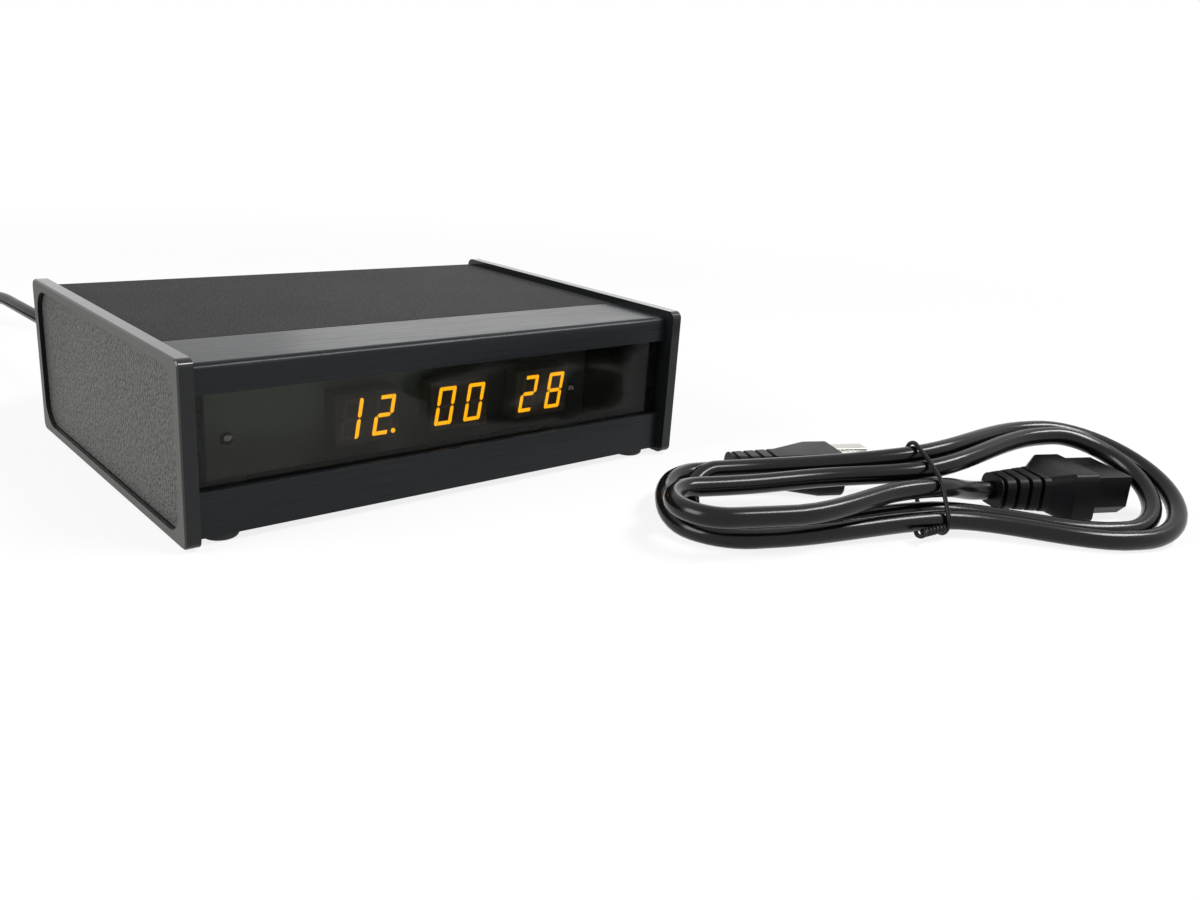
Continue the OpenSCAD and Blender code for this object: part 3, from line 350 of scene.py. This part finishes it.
def grained(name, colour):
    """Matte covering with a fine leathery grain, with painted shade in the grain's creases and
    slightly uneven tone.
    """
    made = Finish(name, {"Specular IOR Level": 0.1})
    grain = made.cells(1500.0)
    fine = made.noise(5200.0)
    cloud = made.noise(26.0, 3.0)
    crease_shade_and_tone = made.ramp(grain + 0.5 * (fine - 0.5) + 0.2 * (cloud - 0.5), 0.1, 0.7)
    # Painted shade: darker where the grain sinks, with some uneven tone from the clouds.
    made.feed("Base Color", made.tint(crease_shade_and_tone, shade(colour, 1.5), shade(colour, 0.5)))
    made.feed("Roughness", 0.58 + 0.14 * grain + 0.05 * cloud)
    made.relief(1 - grain + 0.3 * fine, 0.0002)
    keep(made)


def smoked(name, colour, density):
    """Smoked sheet that lets part of the light through each face."""
    made = Finish(name, {"Alpha": density, "IOR": 1.49, "Specular IOR Level": 0.3})
    cloud = made.noise(16.0)
    made.feed("Base Color", made.tint(cloud, shade(colour, 0.8), shade(colour, 1.2)))
    made.feed("Roughness", 0.035 + 0.03 * cloud)
    keep(made)


def glowing(name, colour, strength):
    """Lit segments, a little brighter in the middle of their grain."""
    made = Finish(name, {"Emission Strength": strength, "Roughness": 0.4})
    cloud = made.noise(420.0)
    made.feed("Base Color", made.tint(cloud, shade(colour, 0.3), shade(colour, 0.4)))
    made.feed("Emission Color", made.tint(cloud, shade(colour, 0.86), shade(colour, 1.0)))
    keep(made)


def jacket(name, colour, shine):
    """Smooth flexible jacket of a lead, satin with faint long waves."""
    made = Finish(name, {"Specular IOR Level": shine})
    wave = made.noise(60.0, 2.0)
    fine = made.noise(1900.0)
    made.feed("Base Color", made.tint(wave, shade(colour, 0.8), shade(colour, 1.2)))
    made.feed("Roughness", 0.15 + 0.06 * wave + 0.04 * fine)
    made.relief(0.8 * wave + 0.03 * fine, 0.0001)
    keep(made)


def metal(name, colour, rough):
    """Plated or machined metal with fine turning marks."""
    made = Finish(name, {"Metallic": 1.0})
    marks = made.noise(1.0, 2.0, (500.0, 2600.0, 2600.0))
    cloud = made.noise(120.0)
    made.feed("Base Color", made.tint(cloud, shade(colour, 0.88), shade(colour, 1.06)))
    made.feed("Roughness", rough - 0.04 + 0.1 * marks)
    made.relief(marks, 0.000004)
    keep(made)


# Span along X, in metres, where the display board's painted light gives way to painted shade.
PAINTED_LIGHT_FROM, PAINTED_LIGHT_TO = -0.05, 0.045


def board_with_painted_light(name, pale, dark):
    """Mask of the display board, painted pale towards its left end as light and dark towards its
    right as shade.
    """
    made = Finish(name, {"Roughness": 0.5, "Specular IOR Level": 0.3})
    painted_light_fall = made.node(
        "ShaderNodeMapRange", {"interpolation_type": "SMOOTHSTEP"},
        {"Value": made.along("X"), "From Min": PAINTED_LIGHT_FROM, "From Max": PAINTED_LIGHT_TO},
    )
    # Painted light on the board's left end, painted shade towards its right.
    made.feed("Base Color", made.tint(painted_light_fall + 0.1 * (made.noise(60.0) - 0.5), pale, dark))
    made.relief(made.noise(1500.0), 0.00002)
    keep(made)


def circuit_board(name, mask):
    """Board under a green mask, with runs of copper and small pads showing through."""
    made = Finish(name, {"Specular IOR Level": 0.5})
    runs = made.node(
        "ShaderNodeTexWave", {"bands_direction": "Z", "wave_profile": "SIN"},
        {
            "Vector": made.place(), "Scale": 95.0, "Distortion": 2.2, "Detail": 1.0,
            "Detail Scale": 0.4,
        },
        output="Fac",
    )
    copper = made.ramp(runs, 0.78, 0.84)
    pads = made.ramp(1 - made.cells(210.0, "F1"), 0.84, 0.88)
    made.feed("Base Color", made.tint(copper + 0.8 * pads, mask, shade(mask, 2.1)))
    made.feed("Roughness", 0.34 - 0.1 * copper + 0.08 * made.noise(140.0))
    made.relief(copper, 0.00004)
    keep(made)


def wound_tape(name, colour):
    """Wrapping tape of the transformer's winding, in overlapping turns."""
    made = Finish(name, {})
    turns = made.node(
        "ShaderNodeTexWave", {"bands_direction": "Z", "wave_profile": "SAW"},
        {"Vector": made.place(), "Scale": 60.0, "Distortion": 0.3}, output="Fac",
    )
    made.feed("Base Color", made.tint(turns, shade(colour, 0.7), shade(colour, 1.15)))
    made.feed("Roughness", 0.4 + 0.15 * turns)
    made.relief(turns, 0.0002)
    keep(made)


def laminated(name, colour):
    """Edges of stacked core plates."""
    made = Finish(name, {"Metallic": 0.8})
    plates = made.node(
        "ShaderNodeTexWave", {"bands_direction": "Y", "wave_profile": "SIN"},
        {"Vector": made.place(), "Scale": 320.0}, output="Fac",
    )
    made.feed("Base Color", made.tint(plates, shade(colour, 0.6), shade(colour, 1.1)))
    made.feed("Roughness", 0.45 + 0.15 * made.noise(300.0))
    made.relief(plates, 0.0001)
    keep(made)


# Meshes made from the CAD nodes
SMOOTH_BELOW = math.radians(34)
SHARP_ABOVE = math.radians(28)
FLAT_WITHIN = math.radians(0.6)
WELD = 1e-6
MOULDED_EDGE = 0.0005
FITTING_EDGE = 0.0004
FINE_EDGE = 0.0003
BOARD_EDGE = 0.0002
JACK_EDGE = 0.00015


def link(obj):
    """Puts an object in the scene."""
    bpy.context.scene.collection.objects.link(obj)
    return obj


def body_of_node(node):
    """The body that a CAD node is part of."""
    return frame["nodes"][node]["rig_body"]


def paint(obj, finish):
    """Gives an object a finish by its name."""
    obj.data.materials.clear()
    obj.data.materials.append(FINISHES[finish])


def smooth_faces(obj):
    """Shades an object smooth, apart from its sharp edges."""
    mesh = obj.data
    mesh.polygons.foreach_set("use_smooth", [True] * len(mesh.polygons))
    mesh.set_sharp_from_angle(angle=SMOOTH_BELOW)
    weighted = obj.modifiers.new("Even normals", "WEIGHTED_NORMAL")
    weighted.keep_sharp = True


def dress(node, finish, edge, segments=2):
    """A copy of a CAD node with its sharp edges rounded stands for the node."""
    mesh = frame["nodes"][node].data.copy()
    shape = bmesh.new()
    shape.from_mesh(mesh)
    bmesh.ops.remove_doubles(shape, verts=shape.verts, dist=WELD)
    bmesh.ops.dissolve_limit(
        shape, angle_limit=FLAT_WITHIN, verts=shape.verts, edges=shape.edges
    )
    sharp = [e for e in shape.edges if e.is_manifold and e.calc_face_angle() > SHARP_ABOVE]
    if sharp:
        bmesh.ops.bevel(
            shape, geom=sharp, offset=edge, offset_type="OFFSET", segments=segments,
            profile=0.5, affect="EDGES", clamp_overlap=True,
        )
    shape.to_mesh(mesh)
    shape.free()
    obj = link(bpy.data.objects.new(node + "_piece", mesh))
    paint(obj, finish)
    smooth_faces(obj)
    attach(obj, body_of_node(node))
    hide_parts(node)
    return obj


def finish_node(node, finish):
    """A CAD node that keeps its own mesh gets its finish."""
    paint(frame["nodes"][node], finish)


# Leads
def unit_step(x):
    """Smooth rise from 0 to 1."""
    x = min(1.0, max(0.0, x))
    return x * x * (3 - 2 * x)


def through(points, parts):
    """A smooth line through the points, with so many parts to each span and straight ends."""
    points = [Vector(p) for p in points]
    spans = [(b - a).length for a, b in zip(points, points[1:])]
    slopes = [(b - a) / h for a, b, h in zip(points, points[1:], spans)]
    aims = [slopes[0]]
    for i in range(1, len(slopes)):
        before, after = spans[i - 1], spans[i]
        aims.append((slopes[i - 1] * after + slopes[i] * before) / (before + after))
    aims.append(slopes[-1])
    line = []
    for i, h in enumerate(spans):
        for k in range(parts):
            t = k / parts
            rise = unit_step(t)
            line.append(
                points[i] * (1 - rise) + points[i + 1] * rise
                + (aims[i] * (1 - t) - aims[i + 1] * t) * (h * t * (1 - t))
            )
    return line + [points[-1]]


def tube(name, lines, diameter, closed=(), sides=6):
    """Round wire or cord along the lines, each a list of points in metres."""
    curve = bpy.data.curves.new(name, "CURVE")
    curve.dimensions = "3D"
    curve.bevel_depth = diameter / 2
    curve.bevel_resolution = sides
    curve.use_fill_caps = True
    for number, line in enumerate(lines):
        spline = curve.splines.new("POLY")
        spline.points.add(len(line) - 1)
        spline.points.foreach_set("co", [x for p in line for x in (*p, 1.0)])
        spline.use_cyclic_u = number in closed
        spline.use_smooth = True
    return link(bpy.data.objects.new(name, curve))


# The plugged-in lead, in millimetres
ROUTE_PARTS = 8
LEAD_EXIT = (-77, 103.4, 26)
LEAD_ROUTE = [
    (-77, 133, 26), (-77.5, 155, 25.5), (-78, 180, 25), (-78, 205, 24.2), (-78, 228, 23.2),
    (-79, 250, 20.3), (-81, 270, 13.5), (-85, 290, 6.5), (-90, 308, 3.3), (-97, 324, 3.1),
    (-106, 337, 3.1), (-117, 346, 3.1), (-129, 350, 3.1),
]
COIL_AT = (-150, 304)
COIL_R = 46.0
COIL_TURNS = 6.25
COIL_STEP = 6.6
COIL_LOW = 3.1
COIL_LEAD_IN = 12.0
COIL_LEAD_OUT = (30.0, 42.0)
COIL_TIE_TURN = 0.75
COIL_TIE_SPAN = 0.12
TIE_LIFT = 1.8
COIL_TIE_GAP = 0.2
COIL_RINGS = 72
PLUG_Z = 8.5
PLUG_PARTS = 6


def coil_point(t):
    """Point of the coil after t turns: it winds in, climbs a layer and winds out again."""
    half = COIL_TURNS / 2
    r = COIL_R - COIL_STEP * (half - abs(t - half))
    a = math.radians(90 + 360 * t)
    off = abs(t - math.floor(t) - COIL_TIE_TURN) / COIL_TIE_SPAN
    lift = math.cos(math.pi / 2 * off) ** 2 if off < 1 else 0.0
    z = COIL_LOW + TIE_LIFT * lift + COIL_STEP * unit_step((t - half + 0.25) * 2)
    return (COIL_AT[0] + r * math.cos(a), COIL_AT[1] + r * math.sin(a), z)


def lead_line():
    """The plugged-in lead from its connector to its plug, in millimetres."""
    start = (COIL_AT[0] + COIL_LEAD_IN, COIL_AT[1] + COIL_R, COIL_LOW)
    free = through([LEAD_EXIT, *LEAD_ROUTE, start], ROUTE_PARTS)
    rings = int(COIL_TURNS * COIL_RINGS)
    turns = [Vector(coil_point(i / COIL_RINGS)) for i in range(rings + 1)]
    x = COIL_AT[0] - COIL_R
    out = [turns[-1]] + [Vector((x, COIL_AT[1] - y, PLUG_Z)) for y in COIL_LEAD_OUT]
    return free + turns + through(out, PLUG_PARTS)[1:]


# The tied lead, in millimetres in a frame of its own, with the tie at its origin
HANK_AT = (129.6, -184.5)
HANK_TURN = math.radians(-25)
HANK_LEFT, HANK_RIGHT = 74.0, 70.0
HANK_LEFT_R, HANK_RIGHT_R = 15.0, 28.5
HANK_LEFT_RISE, HANK_RISE = 11.0, 21.5
HANK_STEP = 8.7
HANK_CLIMB = 10.6
HANK_LOW = 3.7
HANK_SIDE = 6.0
LAST_FURTHER, LAST_SIDE = 12.0, -14.5
HANK_OPEN = 66.0
HANK_SHIFT = 4.0
HANK_START, HANK_EVEN, HANK_LAST, HANK_END = 0.6, 1.625, 2.375, 2.85
HANK_PARTS = 216
WAIST = 9.6
HANK_TIE_LIFT = 2.0
TIE_GAP = 0.4
TIE_SIDES = 32
PLUG_RUN = [
    (-62, 38.4, 8.5), (-69.5, 38.4, 8.5), (-79, 37, 8.5), (-87, 31.5, 8.4), (-92.8, 23.2, 8.1),
]
CONNECTOR_RUN = [(6, -3.6, 14.8), (24, 3.95, 10.3), (33, 5, 9.8), (36, 5, 9.8)]
CONNECTOR_PARTS = 12


def hank_waist(u):
    """1 at the tie, 0 where the loops are fully open."""
    return 1 - unit_step(abs(u) / HANK_OPEN)


def hank_reach(u):
    """Half the width of the hank's middle loop at this distance from the tie."""
    r = HANK_LEFT_R if u < 0 else HANK_RIGHT_R
    return r + (WAIST - r) * hank_waist(u)


def hank_aside(u, side):
    """How far the loops lie to the rear, left of the tie."""
    return side * (1 - hank_waist(u)) if u < 0 else 0.0


def hank_turn(q, left, side, grow):
    """One turn of the hank: right bend, rear run, left bend, front run."""
    long = left + HANK_RIGHT
    if q < 0.25:
        a, r = math.radians(720 * q - 90), HANK_RIGHT_R + grow
        return HANK_RIGHT + r * math.cos(a), r * math.sin(a), HANK_RISE * unit_step(4 * q)
    if q < 0.5:
        u = HANK_RIGHT - long * (4 * q - 1)
        rise = (HANK_RISE - HANK_LEFT_RISE) * unit_step((u + left) / long)
        return u, hank_aside(u, side) + hank_reach(u) + grow, HANK_LEFT_RISE + rise
    if q < 0.75:
        a, r = math.radians(720 * q - 270), HANK_LEFT_R + grow
        fall = 1 - unit_step(6 * q - 3)
        return r * math.cos(a) - left, side + r * math.sin(a), HANK_LEFT_RISE * fall
    u = long * (4 * q - 3) - left
    v = hank_aside(u, side) - hank_reach(u) - grow + HANK_SHIFT * hank_waist(u)
    return u, v, 0.0


def hank_point(t):
    """Point of the hank after t turns: it winds inwards, and the last left bend lies on top."""
    last = unit_step((t - HANK_LAST) * 8)
    climbed = unit_step((t - HANK_LAST) * 4 + 0.5)
    u, v, rise = hank_turn(
        t - math.floor(t), HANK_LEFT + LAST_FURTHER * last, HANK_SIDE + LAST_SIDE * last,
        HANK_STEP * (HANK_EVEN - t) * (1 - last),
    )
    low = HANK_LOW + HANK_TIE_LIFT * hank_waist(u)
    return Vector((u, v, low + rise * (1 - climbed) + HANK_CLIMB * climbed))


def hank_line():
    """The tied lead from its plug to its connector, in the hank's own frame in millimetres."""
    step = (HANK_END - HANK_START) / HANK_PARTS
    loops = [hank_point(HANK_START + i * step) for i in range(HANK_PARTS + 1)]
    first = through([*PLUG_RUN, loops[0], loops[1]], ROUTE_PARTS)
    final = through([loops[-2], loops[-1], *CONNECTOR_RUN], CONNECTOR_PARTS)
    return first[: ROUTE_PARTS * len(PLUG_RUN)] + loops + final[CONNECTOR_PARTS + 1 :]


def hank_tie_ring(line, reach):
    """Outline of the tie drawn tight round the strands, across the hank and up, in millimetres."""
    spots = []
    for a, b in zip(line, line[1:]):
        if a.x * b.x < 0:
            spots.append(a.lerp(b, a.x / (a.x - b.x)))
    rim = []
    for spot in spots:
        for k in range(TIE_SIDES):
            a = 2 * math.pi * k / TIE_SIDES
            rim.append(Vector((spot.y + reach * math.cos(a), spot.z + reach * math.sin(a))))
    return [rim[i] for i in convex_hull_2d(rim)]


def from_hank(p):
    """A point of the hank's frame in the unit's frame, in metres."""
    c, s = math.cos(HANK_TURN), math.sin(HANK_TURN)
    x, y, z = p
    return Vector((HANK_AT[0] + c * x - s * y, HANK_AT[1] + s * x + c * y, z)) * MM


def metres(line):
    """Points in millimetres as points in metres."""
    return [Vector(p) * MM for p in line]


def tie_ring(low, high, top, wire, corner=4.0, steps=6):
    """Outline of a wire tie, across its bundle and up, in millimetres."""
    y = (low - wire / 2, high + wire / 2)
    z = (wire / 2, top + wire / 2)
    ring = []
    for yi, zi, start in ((0, 0, 180), (1, 0, 270), (1, 1, 0), (0, 1, 90)):
        cy = y[yi] + (corner if yi == 0 else -corner)
        cz = z[zi] + (corner if zi == 0 else -corner)
        for k in range(steps + 1):
            a = math.radians(start + 90 * k / steps)
            ring.append((cy + corner * math.cos(a), cz + corner * math.sin(a)))
    return ring


# Twisted ends of the ties
TWIST_TURNS = 3.5
TWIST_PARTS = 60
TWIST_R = 0.52
TWIST_FLARE = 1.6
UP = Vector((0, 0, 1))
LEAD_TWIST, LEAD_TWIST_AIM = 0.014, (0.35, -0.93, 0.1)
LEAD_TWIST_OUT, LEAD_TWIST_Z = 1.2, 3.2
SPARE_TWIST, SPARE_TWIST_AIM = 0.013, (-0.93, -0.3, -0.02)
SPARE_TWIST_AT = (-0.4, -0.2, 1.9)


def twisted_ends(start, along, up, length, wire):
    """The two ends of a tie, twisted round each other from start along a direction."""
    side = along.cross(up).normalized()
    ends = []
    for phase in (0.0, math.pi):
        line = []
        for i in range(TWIST_PARTS + 1):
            s = i / TWIST_PARTS
            a = phase + 2 * math.pi * TWIST_TURNS * s
            r = TWIST_R * wire * (1 + TWIST_FLARE * unit_step((s - 0.9) * 10))
            round_it = side * (r * math.cos(a)) + up * (r * math.sin(a))
            line.append(start + along * (length * s) + round_it)
        ends.append(line)
    return ends


# The camera, fitted to the photograph, and the floor
SENSOR_MM, LENS_MM = 36.0, 32.625
CLIP_START = 0.01
CAMERA_AT = (-0.2144, -0.3851, 0.1403)
CAMERA_RIGHT = (0.75484459, -0.65221082, 0.06950325)
CAMERA_UP = (0.14962075, 0.27439286, 0.94990641)
CAMERA_BACK = (-0.63861043, -0.70663259, 0.30470823)
FLOOR_HALF = 6.0
SHADOW_FROM, SHADOW_TO = 0.35, 0.9
LAMP_AIM = Vector((0.0, 0.0, 0.03))


class STAGE_OT_camera(bpy.types.Operator):
    """Sets the camera at the photograph's angle"""

    bl_idname = "display_unit.camera"
    bl_label = "Camera"

    def execute(self, context):
        lens = bpy.data.cameras.new("camera")
        lens.sensor_fit = "HORIZONTAL"
        lens.sensor_width = SENSOR_MM
        lens.lens = LENS_MM
        lens.clip_start = CLIP_START
        camera = link(bpy.data.objects.new("camera", lens))
        turn = Matrix((CAMERA_RIGHT, CAMERA_UP, CAMERA_BACK)).transposed().to_4x4()
        camera.matrix_world = Matrix.Translation(CAMERA_AT) @ turn
        context.scene.camera = camera
        return {"FINISHED"}


class STAGE_OT_light(bpy.types.Operator):
    """Makes the pale floor, the even sky and the soft lamps"""

    bl_idname = "display_unit.light"
    bl_label = "Floor and light"

    def execute(self, context):
        look = context.scene.unit_stage
        context.scene.view_settings.view_transform = "Standard"
        self.floor(look)
        self.sky(context.scene, look)
        self.lamp("side lamp", (-1.05, 0.1, 0.6), (0.7, 0.7), look.side)
        self.lamp("upper lamp", (0.65, -0.65, 1.05), (0.8, 0.2), look.top, math.radians(-25))
        self.lamp("rear lamp", (0.95, 1.05, 0.5), (0.9, 0.35), look.rear)
        return {"FINISHED"}

    def floor(self, look):
        mesh = bpy.data.meshes.new("floor")
        half = FLOOR_HALF
        corners = [(-half, -half, 0), (half, -half, 0), (half, half, 0), (-half, half, 0)]
        mesh.from_pydata(corners, [], [(0, 1, 2, 3)])
        floor = link(bpy.data.objects.new("floor", mesh))
        made = Finish("floor paper", {"Roughness": 0.9, "Specular IOR Level": 0.0})
        white = tuple(look.floor)
        made.feed("Base Color", made.tint(made.noise(900.0), shade(white, 0.985), white))
        glow = made.node("ShaderNodeEmission", {}, {"Color": (1, 1, 1, 1), "Strength": 1.0})
        far = made.node(
            "ShaderNodeVectorMath", {"operation": "LENGTH"}, {0: made.place()}, output="Value"
        )
        bare = made.node(
            "ShaderNodeMapRange", {"interpolation_type": "SMOOTHSTEP"},
            {
                "Value": far, "From Min": SHADOW_FROM, "From Max": SHADOW_TO,
                "To Min": 1 - look.shadow,
            },
        )
        body = Wire(made, made.shader.outputs[0])
        mixed = made.node("ShaderNodeMixShader", {}, {0: made.seen() * bare, 1: body, 2: glow})
        made.fill(made.nodes["Material Output"].inputs["Surface"], mixed)
        keep(made)
        paint(floor, "floor paper")

    def sky(self, scene, look):
        scene.world = bpy.data.worlds.new("sky")
        tree = NodeTree(scene.world)
        background = tree.nodes["Background"]
        tree.fill(background.inputs["Color"], (1, 1, 1, 1))
        tree.fill(background.inputs["Strength"], look.sky + (1 - look.sky) * tree.seen())

    def lamp(self, name, place, size, power, turn=0.0):
        lamp = bpy.data.lights.new(name, "AREA")
        lamp.shape = "RECTANGLE"
        lamp.size, lamp.size_y = size
        lamp.energy = power
        obj = link(bpy.data.objects.new(name, lamp))
        aim = LAMP_AIM - Vector(place)
        tilt = aim.to_track_quat("-Z", "Y").to_matrix() @ Matrix.Rotation(turn, 3, "Z")
        obj.matrix_world = Matrix.Translation(place) @ tilt.to_4x4()


class LEADS_OT_lay(bpy.types.Operator):
    """Lays both mains leads with their ties, connectors and plugs"""

    bl_idname = "display_unit.leads"
    bl_label = "Leads"

    def execute(self, context):
        look = context.scene.unit_leads
        colour = tuple(look.jacket)
        jacket("lead jacket", colour, 0.04)
        jacket("new lead jacket", colour, 0.27)
        moulded("lead moulding", shade(colour, 1.25), 0.38, 3000.0, 0.00003, 0.13)
        moulded("tie coating", shade(colour, 1.1), 0.4, gloss=0.2)
        metal("nickel", (0.62, 0.6, 0.56), 0.26)
        for lead in ("lead", "spare"):
            for part in ("connector", "plug"):
                dress(f"{lead}_{part}", "lead moulding", MOULDED_EDGE)
            dress(f"{lead}_blades", "nickel", FINE_EDGE)
        self.plugged_in(look)
        self.tied(look)
        return {"FINISHED"}

    def settle(self, obj, finish, slot, *nodes):
        """Lays an object on the case's body in place of CAD nodes."""
        paint(obj, finish)
        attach(obj, "case")
        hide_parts(*nodes)

    def plugged_in(self, look):
        """The lead that leaves the rear, with its coil and tie."""
        line = metres(lead_line())
        lead = tube("plugged_in_lead", [line], look.lead)
        self.settle(lead, "lead jacket", "lead_jacket", "lead_stretch", "lead_coil")
        clear = look.lead / MM / 2 + COIL_TIE_GAP
        inner = COIL_R - COIL_STEP * COIL_TURNS / 2 - clear
        outer = COIL_R + clear
        top = COIL_LOW + TIE_LIFT + COIL_STEP + clear
        turn = math.radians(360 * COIL_TIE_TURN)
        out = Vector((-math.sin(turn), math.cos(turn), 0))
        middle = Vector((*COIL_AT, 0))
        outline = tie_ring(inner, outer, top, look.tie / MM)
        ring = [(middle + out * y + UP * z) * MM for y, z in outline]
        start = (middle + out * (outer + LEAD_TWIST_OUT) + UP * LEAD_TWIST_Z) * MM
        along = Vector(LEAD_TWIST_AIM).normalized()
        ends = twisted_ends(start, along, UP, LEAD_TWIST, look.tie)
        tie = tube("lead_tie_wire", [ring, *ends], look.tie, closed=(0,), sides=4)
        self.settle(tie, "tie coating", "tie_wire", "lead_tie")

    def tied(self, look):
        """The lead that lies beside the unit, drawn together by its tie."""
        laid = hank_line()
        line = [from_hank(p) for p in laid]
        spare = tube("tied_spare_lead", [line], look.spare)
        self.settle(spare, "new lead jacket", "lead_jacket", "spare_hank")
        wire, half = look.tie / MM, look.spare / MM / 2
        outline = hank_tie_ring(laid, half + TIE_GAP + wire / 2)
        ring = [from_hank((0, y, z)) for y, z in outline]
        front = min(outline, key=lambda p: p.x + p.y)
        start = from_hank(Vector((0, *front)) + Vector(SPARE_TWIST_AT))
        along = (from_hank(SPARE_TWIST_AIM) - from_hank((0, 0, 0))).normalized()
        ends = twisted_ends(start, along, UP, SPARE_TWIST, look.tie)
        tie = tube("spare_tie_wire", [ring, *ends], look.tie, closed=(0,), sides=4)
        self.settle(tie, "tie coating", "tie_wire", "spare_tie")


class CASE_OT_dress(bpy.types.Operator):
    """Dresses the end caps, panels, rails, covers and feet"""

    bl_idname = "display_unit.case"
    bl_label = "Case"

    def execute(self, context):
        look = context.scene.unit_case
        # The dark colour is painted shade on the caps' front and top edges; the caps' own colour
        # is painted light on their outer sides.
        cap_with_painted_light("cap moulding", tuple(look.cap), (0.0075, 0.0085, 0.0092))
        pebbled("pebbled panel", tuple(look.panel))
        brushed("brushed black", tuple(look.rail))
        grained("grained cover", tuple(look.cover))
        moulded("foot rubber", (0.02, 0.02, 0.02), 0.7)
        metal("zinc", (0.6, 0.6, 0.58), 0.34)
        for side in ("left", "right"):
            dress(side + "_end_cap", "cap moulding", look.edge, 3)
            dress(side + "_end_panel", "pebbled panel", look.edge / 2)
        for rail in ("front_top_rail", "front_bottom_rail", "rear_top_rail", "rear_bottom_rail"):
            dress(rail, "brushed black", look.edge * 0.75)
        for cover in ("top_cover", "bottom_cover", "rear_panel"):
            dress(cover, "grained cover", look.edge)
        dress("rubber_feet", "foot rubber", look.edge)
        finish_node("end_cap_screws", "zinc")
        return {"FINISHED"}


class DISPLAY_OT_dress(bpy.types.Operator):
    """Dresses the smoked window, the display board and the digits"""

    bl_idname = "display_unit.display"
    bl_label = "Display"

    def execute(self, context):
        look = context.scene.unit_display
        smoked("smoked sheet", tuple(look.window), look.density)
        glowing("lit amber", tuple(look.lit), look.glow)
        moulded("display face", tuple(look.body), 0.45, 2200.0)
        moulded("unlit amber", shade(tuple(look.body), 1.5), 0.4)
        # The pale colour is painted light on the board's left end, and the dark one is painted
        # shade on the rest.
        board_with_painted_light("display board mask", (0.64, 0.71, 0.54), (0.115, 0.128, 0.115))
        metal("bright screw", (0.9, 0.9, 0.88), 0.1)
        dress("smoked_window", "smoked sheet", FINE_EDGE)
        dress("display_board", "display board mask", BOARD_EDGE)
        for part in ("hours", "minutes", "seconds"):
            dress(part + "_module", "display face", MOULDED_EDGE)
        finish_node("lit_segments", "lit amber")
        finish_node("unlit_segments", "unlit amber")
        dress("display_screws", "bright screw", FINE_EDGE)
        dress("display_brackets", "zinc", FINE_EDGE)
        return {"FINISHED"}


class INSIDE_OT_dress(bpy.types.Operator):
    """Dresses the electronics inside the case"""

    bl_idname = "display_unit.inside"
    bl_label = "Inside"

    def execute(self, context):
        circuit_board("circuit board", (0.035, 0.075, 0.045))
        moulded("black moulding", (0.018, 0.018, 0.018), 0.42)
        moulded("ribbon grey", (0.3, 0.3, 0.32), 0.5)
        moulded("capacitor sleeve", (0.03, 0.045, 0.16), 0.25)
        moulded("chip moulding", (0.02, 0.02, 0.021), 0.5)
        metal("black aluminium", (0.06, 0.06, 0.062), 0.4)
        wound_tape("winding tape", (0.42, 0.26, 0.07))
        laminated("core plates", (0.3, 0.31, 0.32))
        plain = {
            "ribbon_headers": "black moulding", "ribbon_cable": "ribbon grey",
            "main_board": "circuit board", "board_standoffs": "zinc", "board_screws": "zinc",
            "logic_chips": "chip moulding", "filter_capacitor": "capacitor sleeve",
            "regulator": "chip moulding", "heat_sink": "black aluminium",
            "transformer_core": "core plates", "transformer_winding": "winding tape",
        }
        for node, finish in plain.items():
            finish_node(node, finish)
        return {"FINISHED"}


class REAR_OT_dress(bpy.types.Operator):
    """Dresses the fittings of the rear panel"""

    bl_idname = "display_unit.rear"
    bl_label = "Rear fittings"

    def execute(self, context):
        moulded("fuse glass", (0.6, 0.62, 0.6), 0.12)
        for node in ("mains_inlet", "switch_housing", "fuse_holder"):
            dress(node, "black moulding", FITTING_EDGE)
        for node in ("switch_rocker", "fuse_cap", "brightness_knob"):
            dress(node, "black moulding", FINE_EDGE)
        for node in ("code_input_jack", "code_loop_jack"):
            dress(node, "nickel", JACK_EDGE)
        dress("panel_nuts", "zinc", FINE_EDGE)
        for node in ("brightness_control", "brightness_shaft"):
            finish_node(node, "zinc")
        finish_node("inlet_pins", "nickel")
        finish_node("fuse_link", "fuse glass")
        return {"FINISHED"}


class UNIT_PT_steps(bpy.types.Panel):
    """The steps that dress the unit"""

    bl_idname = "UNIT_PT_steps"
    bl_label = "Display unit"
    bl_space_type = "VIEW_3D"
    bl_region_type = "UI"
    bl_category = "Display unit"

    def draw(self, context):
        for operator in OPERATORS:
            self.layout.operator(operator.bl_idname)
        for look in LOOKS:
            group = getattr(context.scene, look)
            for key in group.__annotations__:
                self.layout.prop(group, key)


OPERATORS = (
    STAGE_OT_camera, LEADS_OT_lay, CASE_OT_dress, DISPLAY_OT_dress, INSIDE_OT_dress,
    REAR_OT_dress, STAGE_OT_light,
)
LOOKS = {
    "unit_case": CaseLook, "unit_display": DisplayLook, "unit_leads": LeadLook,
    "unit_stage": StageLook,
}
CLASSES = (*LOOKS.values(), *OPERATORS, UNIT_PT_steps)


def register():
    for cls in CLASSES:
        bpy.utils.register_class(cls)
    for name, look in LOOKS.items():
        setattr(bpy.types.Scene, name, PointerProperty(type=look))


def unregister():
    for name in LOOKS:
        delattr(bpy.types.Scene, name)
    for cls in reversed(CLASSES):
        bpy.utils.unregister_class(cls)


def main():
    register()
    for operator in OPERATORS:
        group, name = operator.bl_idname.split(".")
        getattr(getattr(bpy.ops, group), name)()
    bpy.context.view_layer.update()


if __name__ == "__main__":
    main()
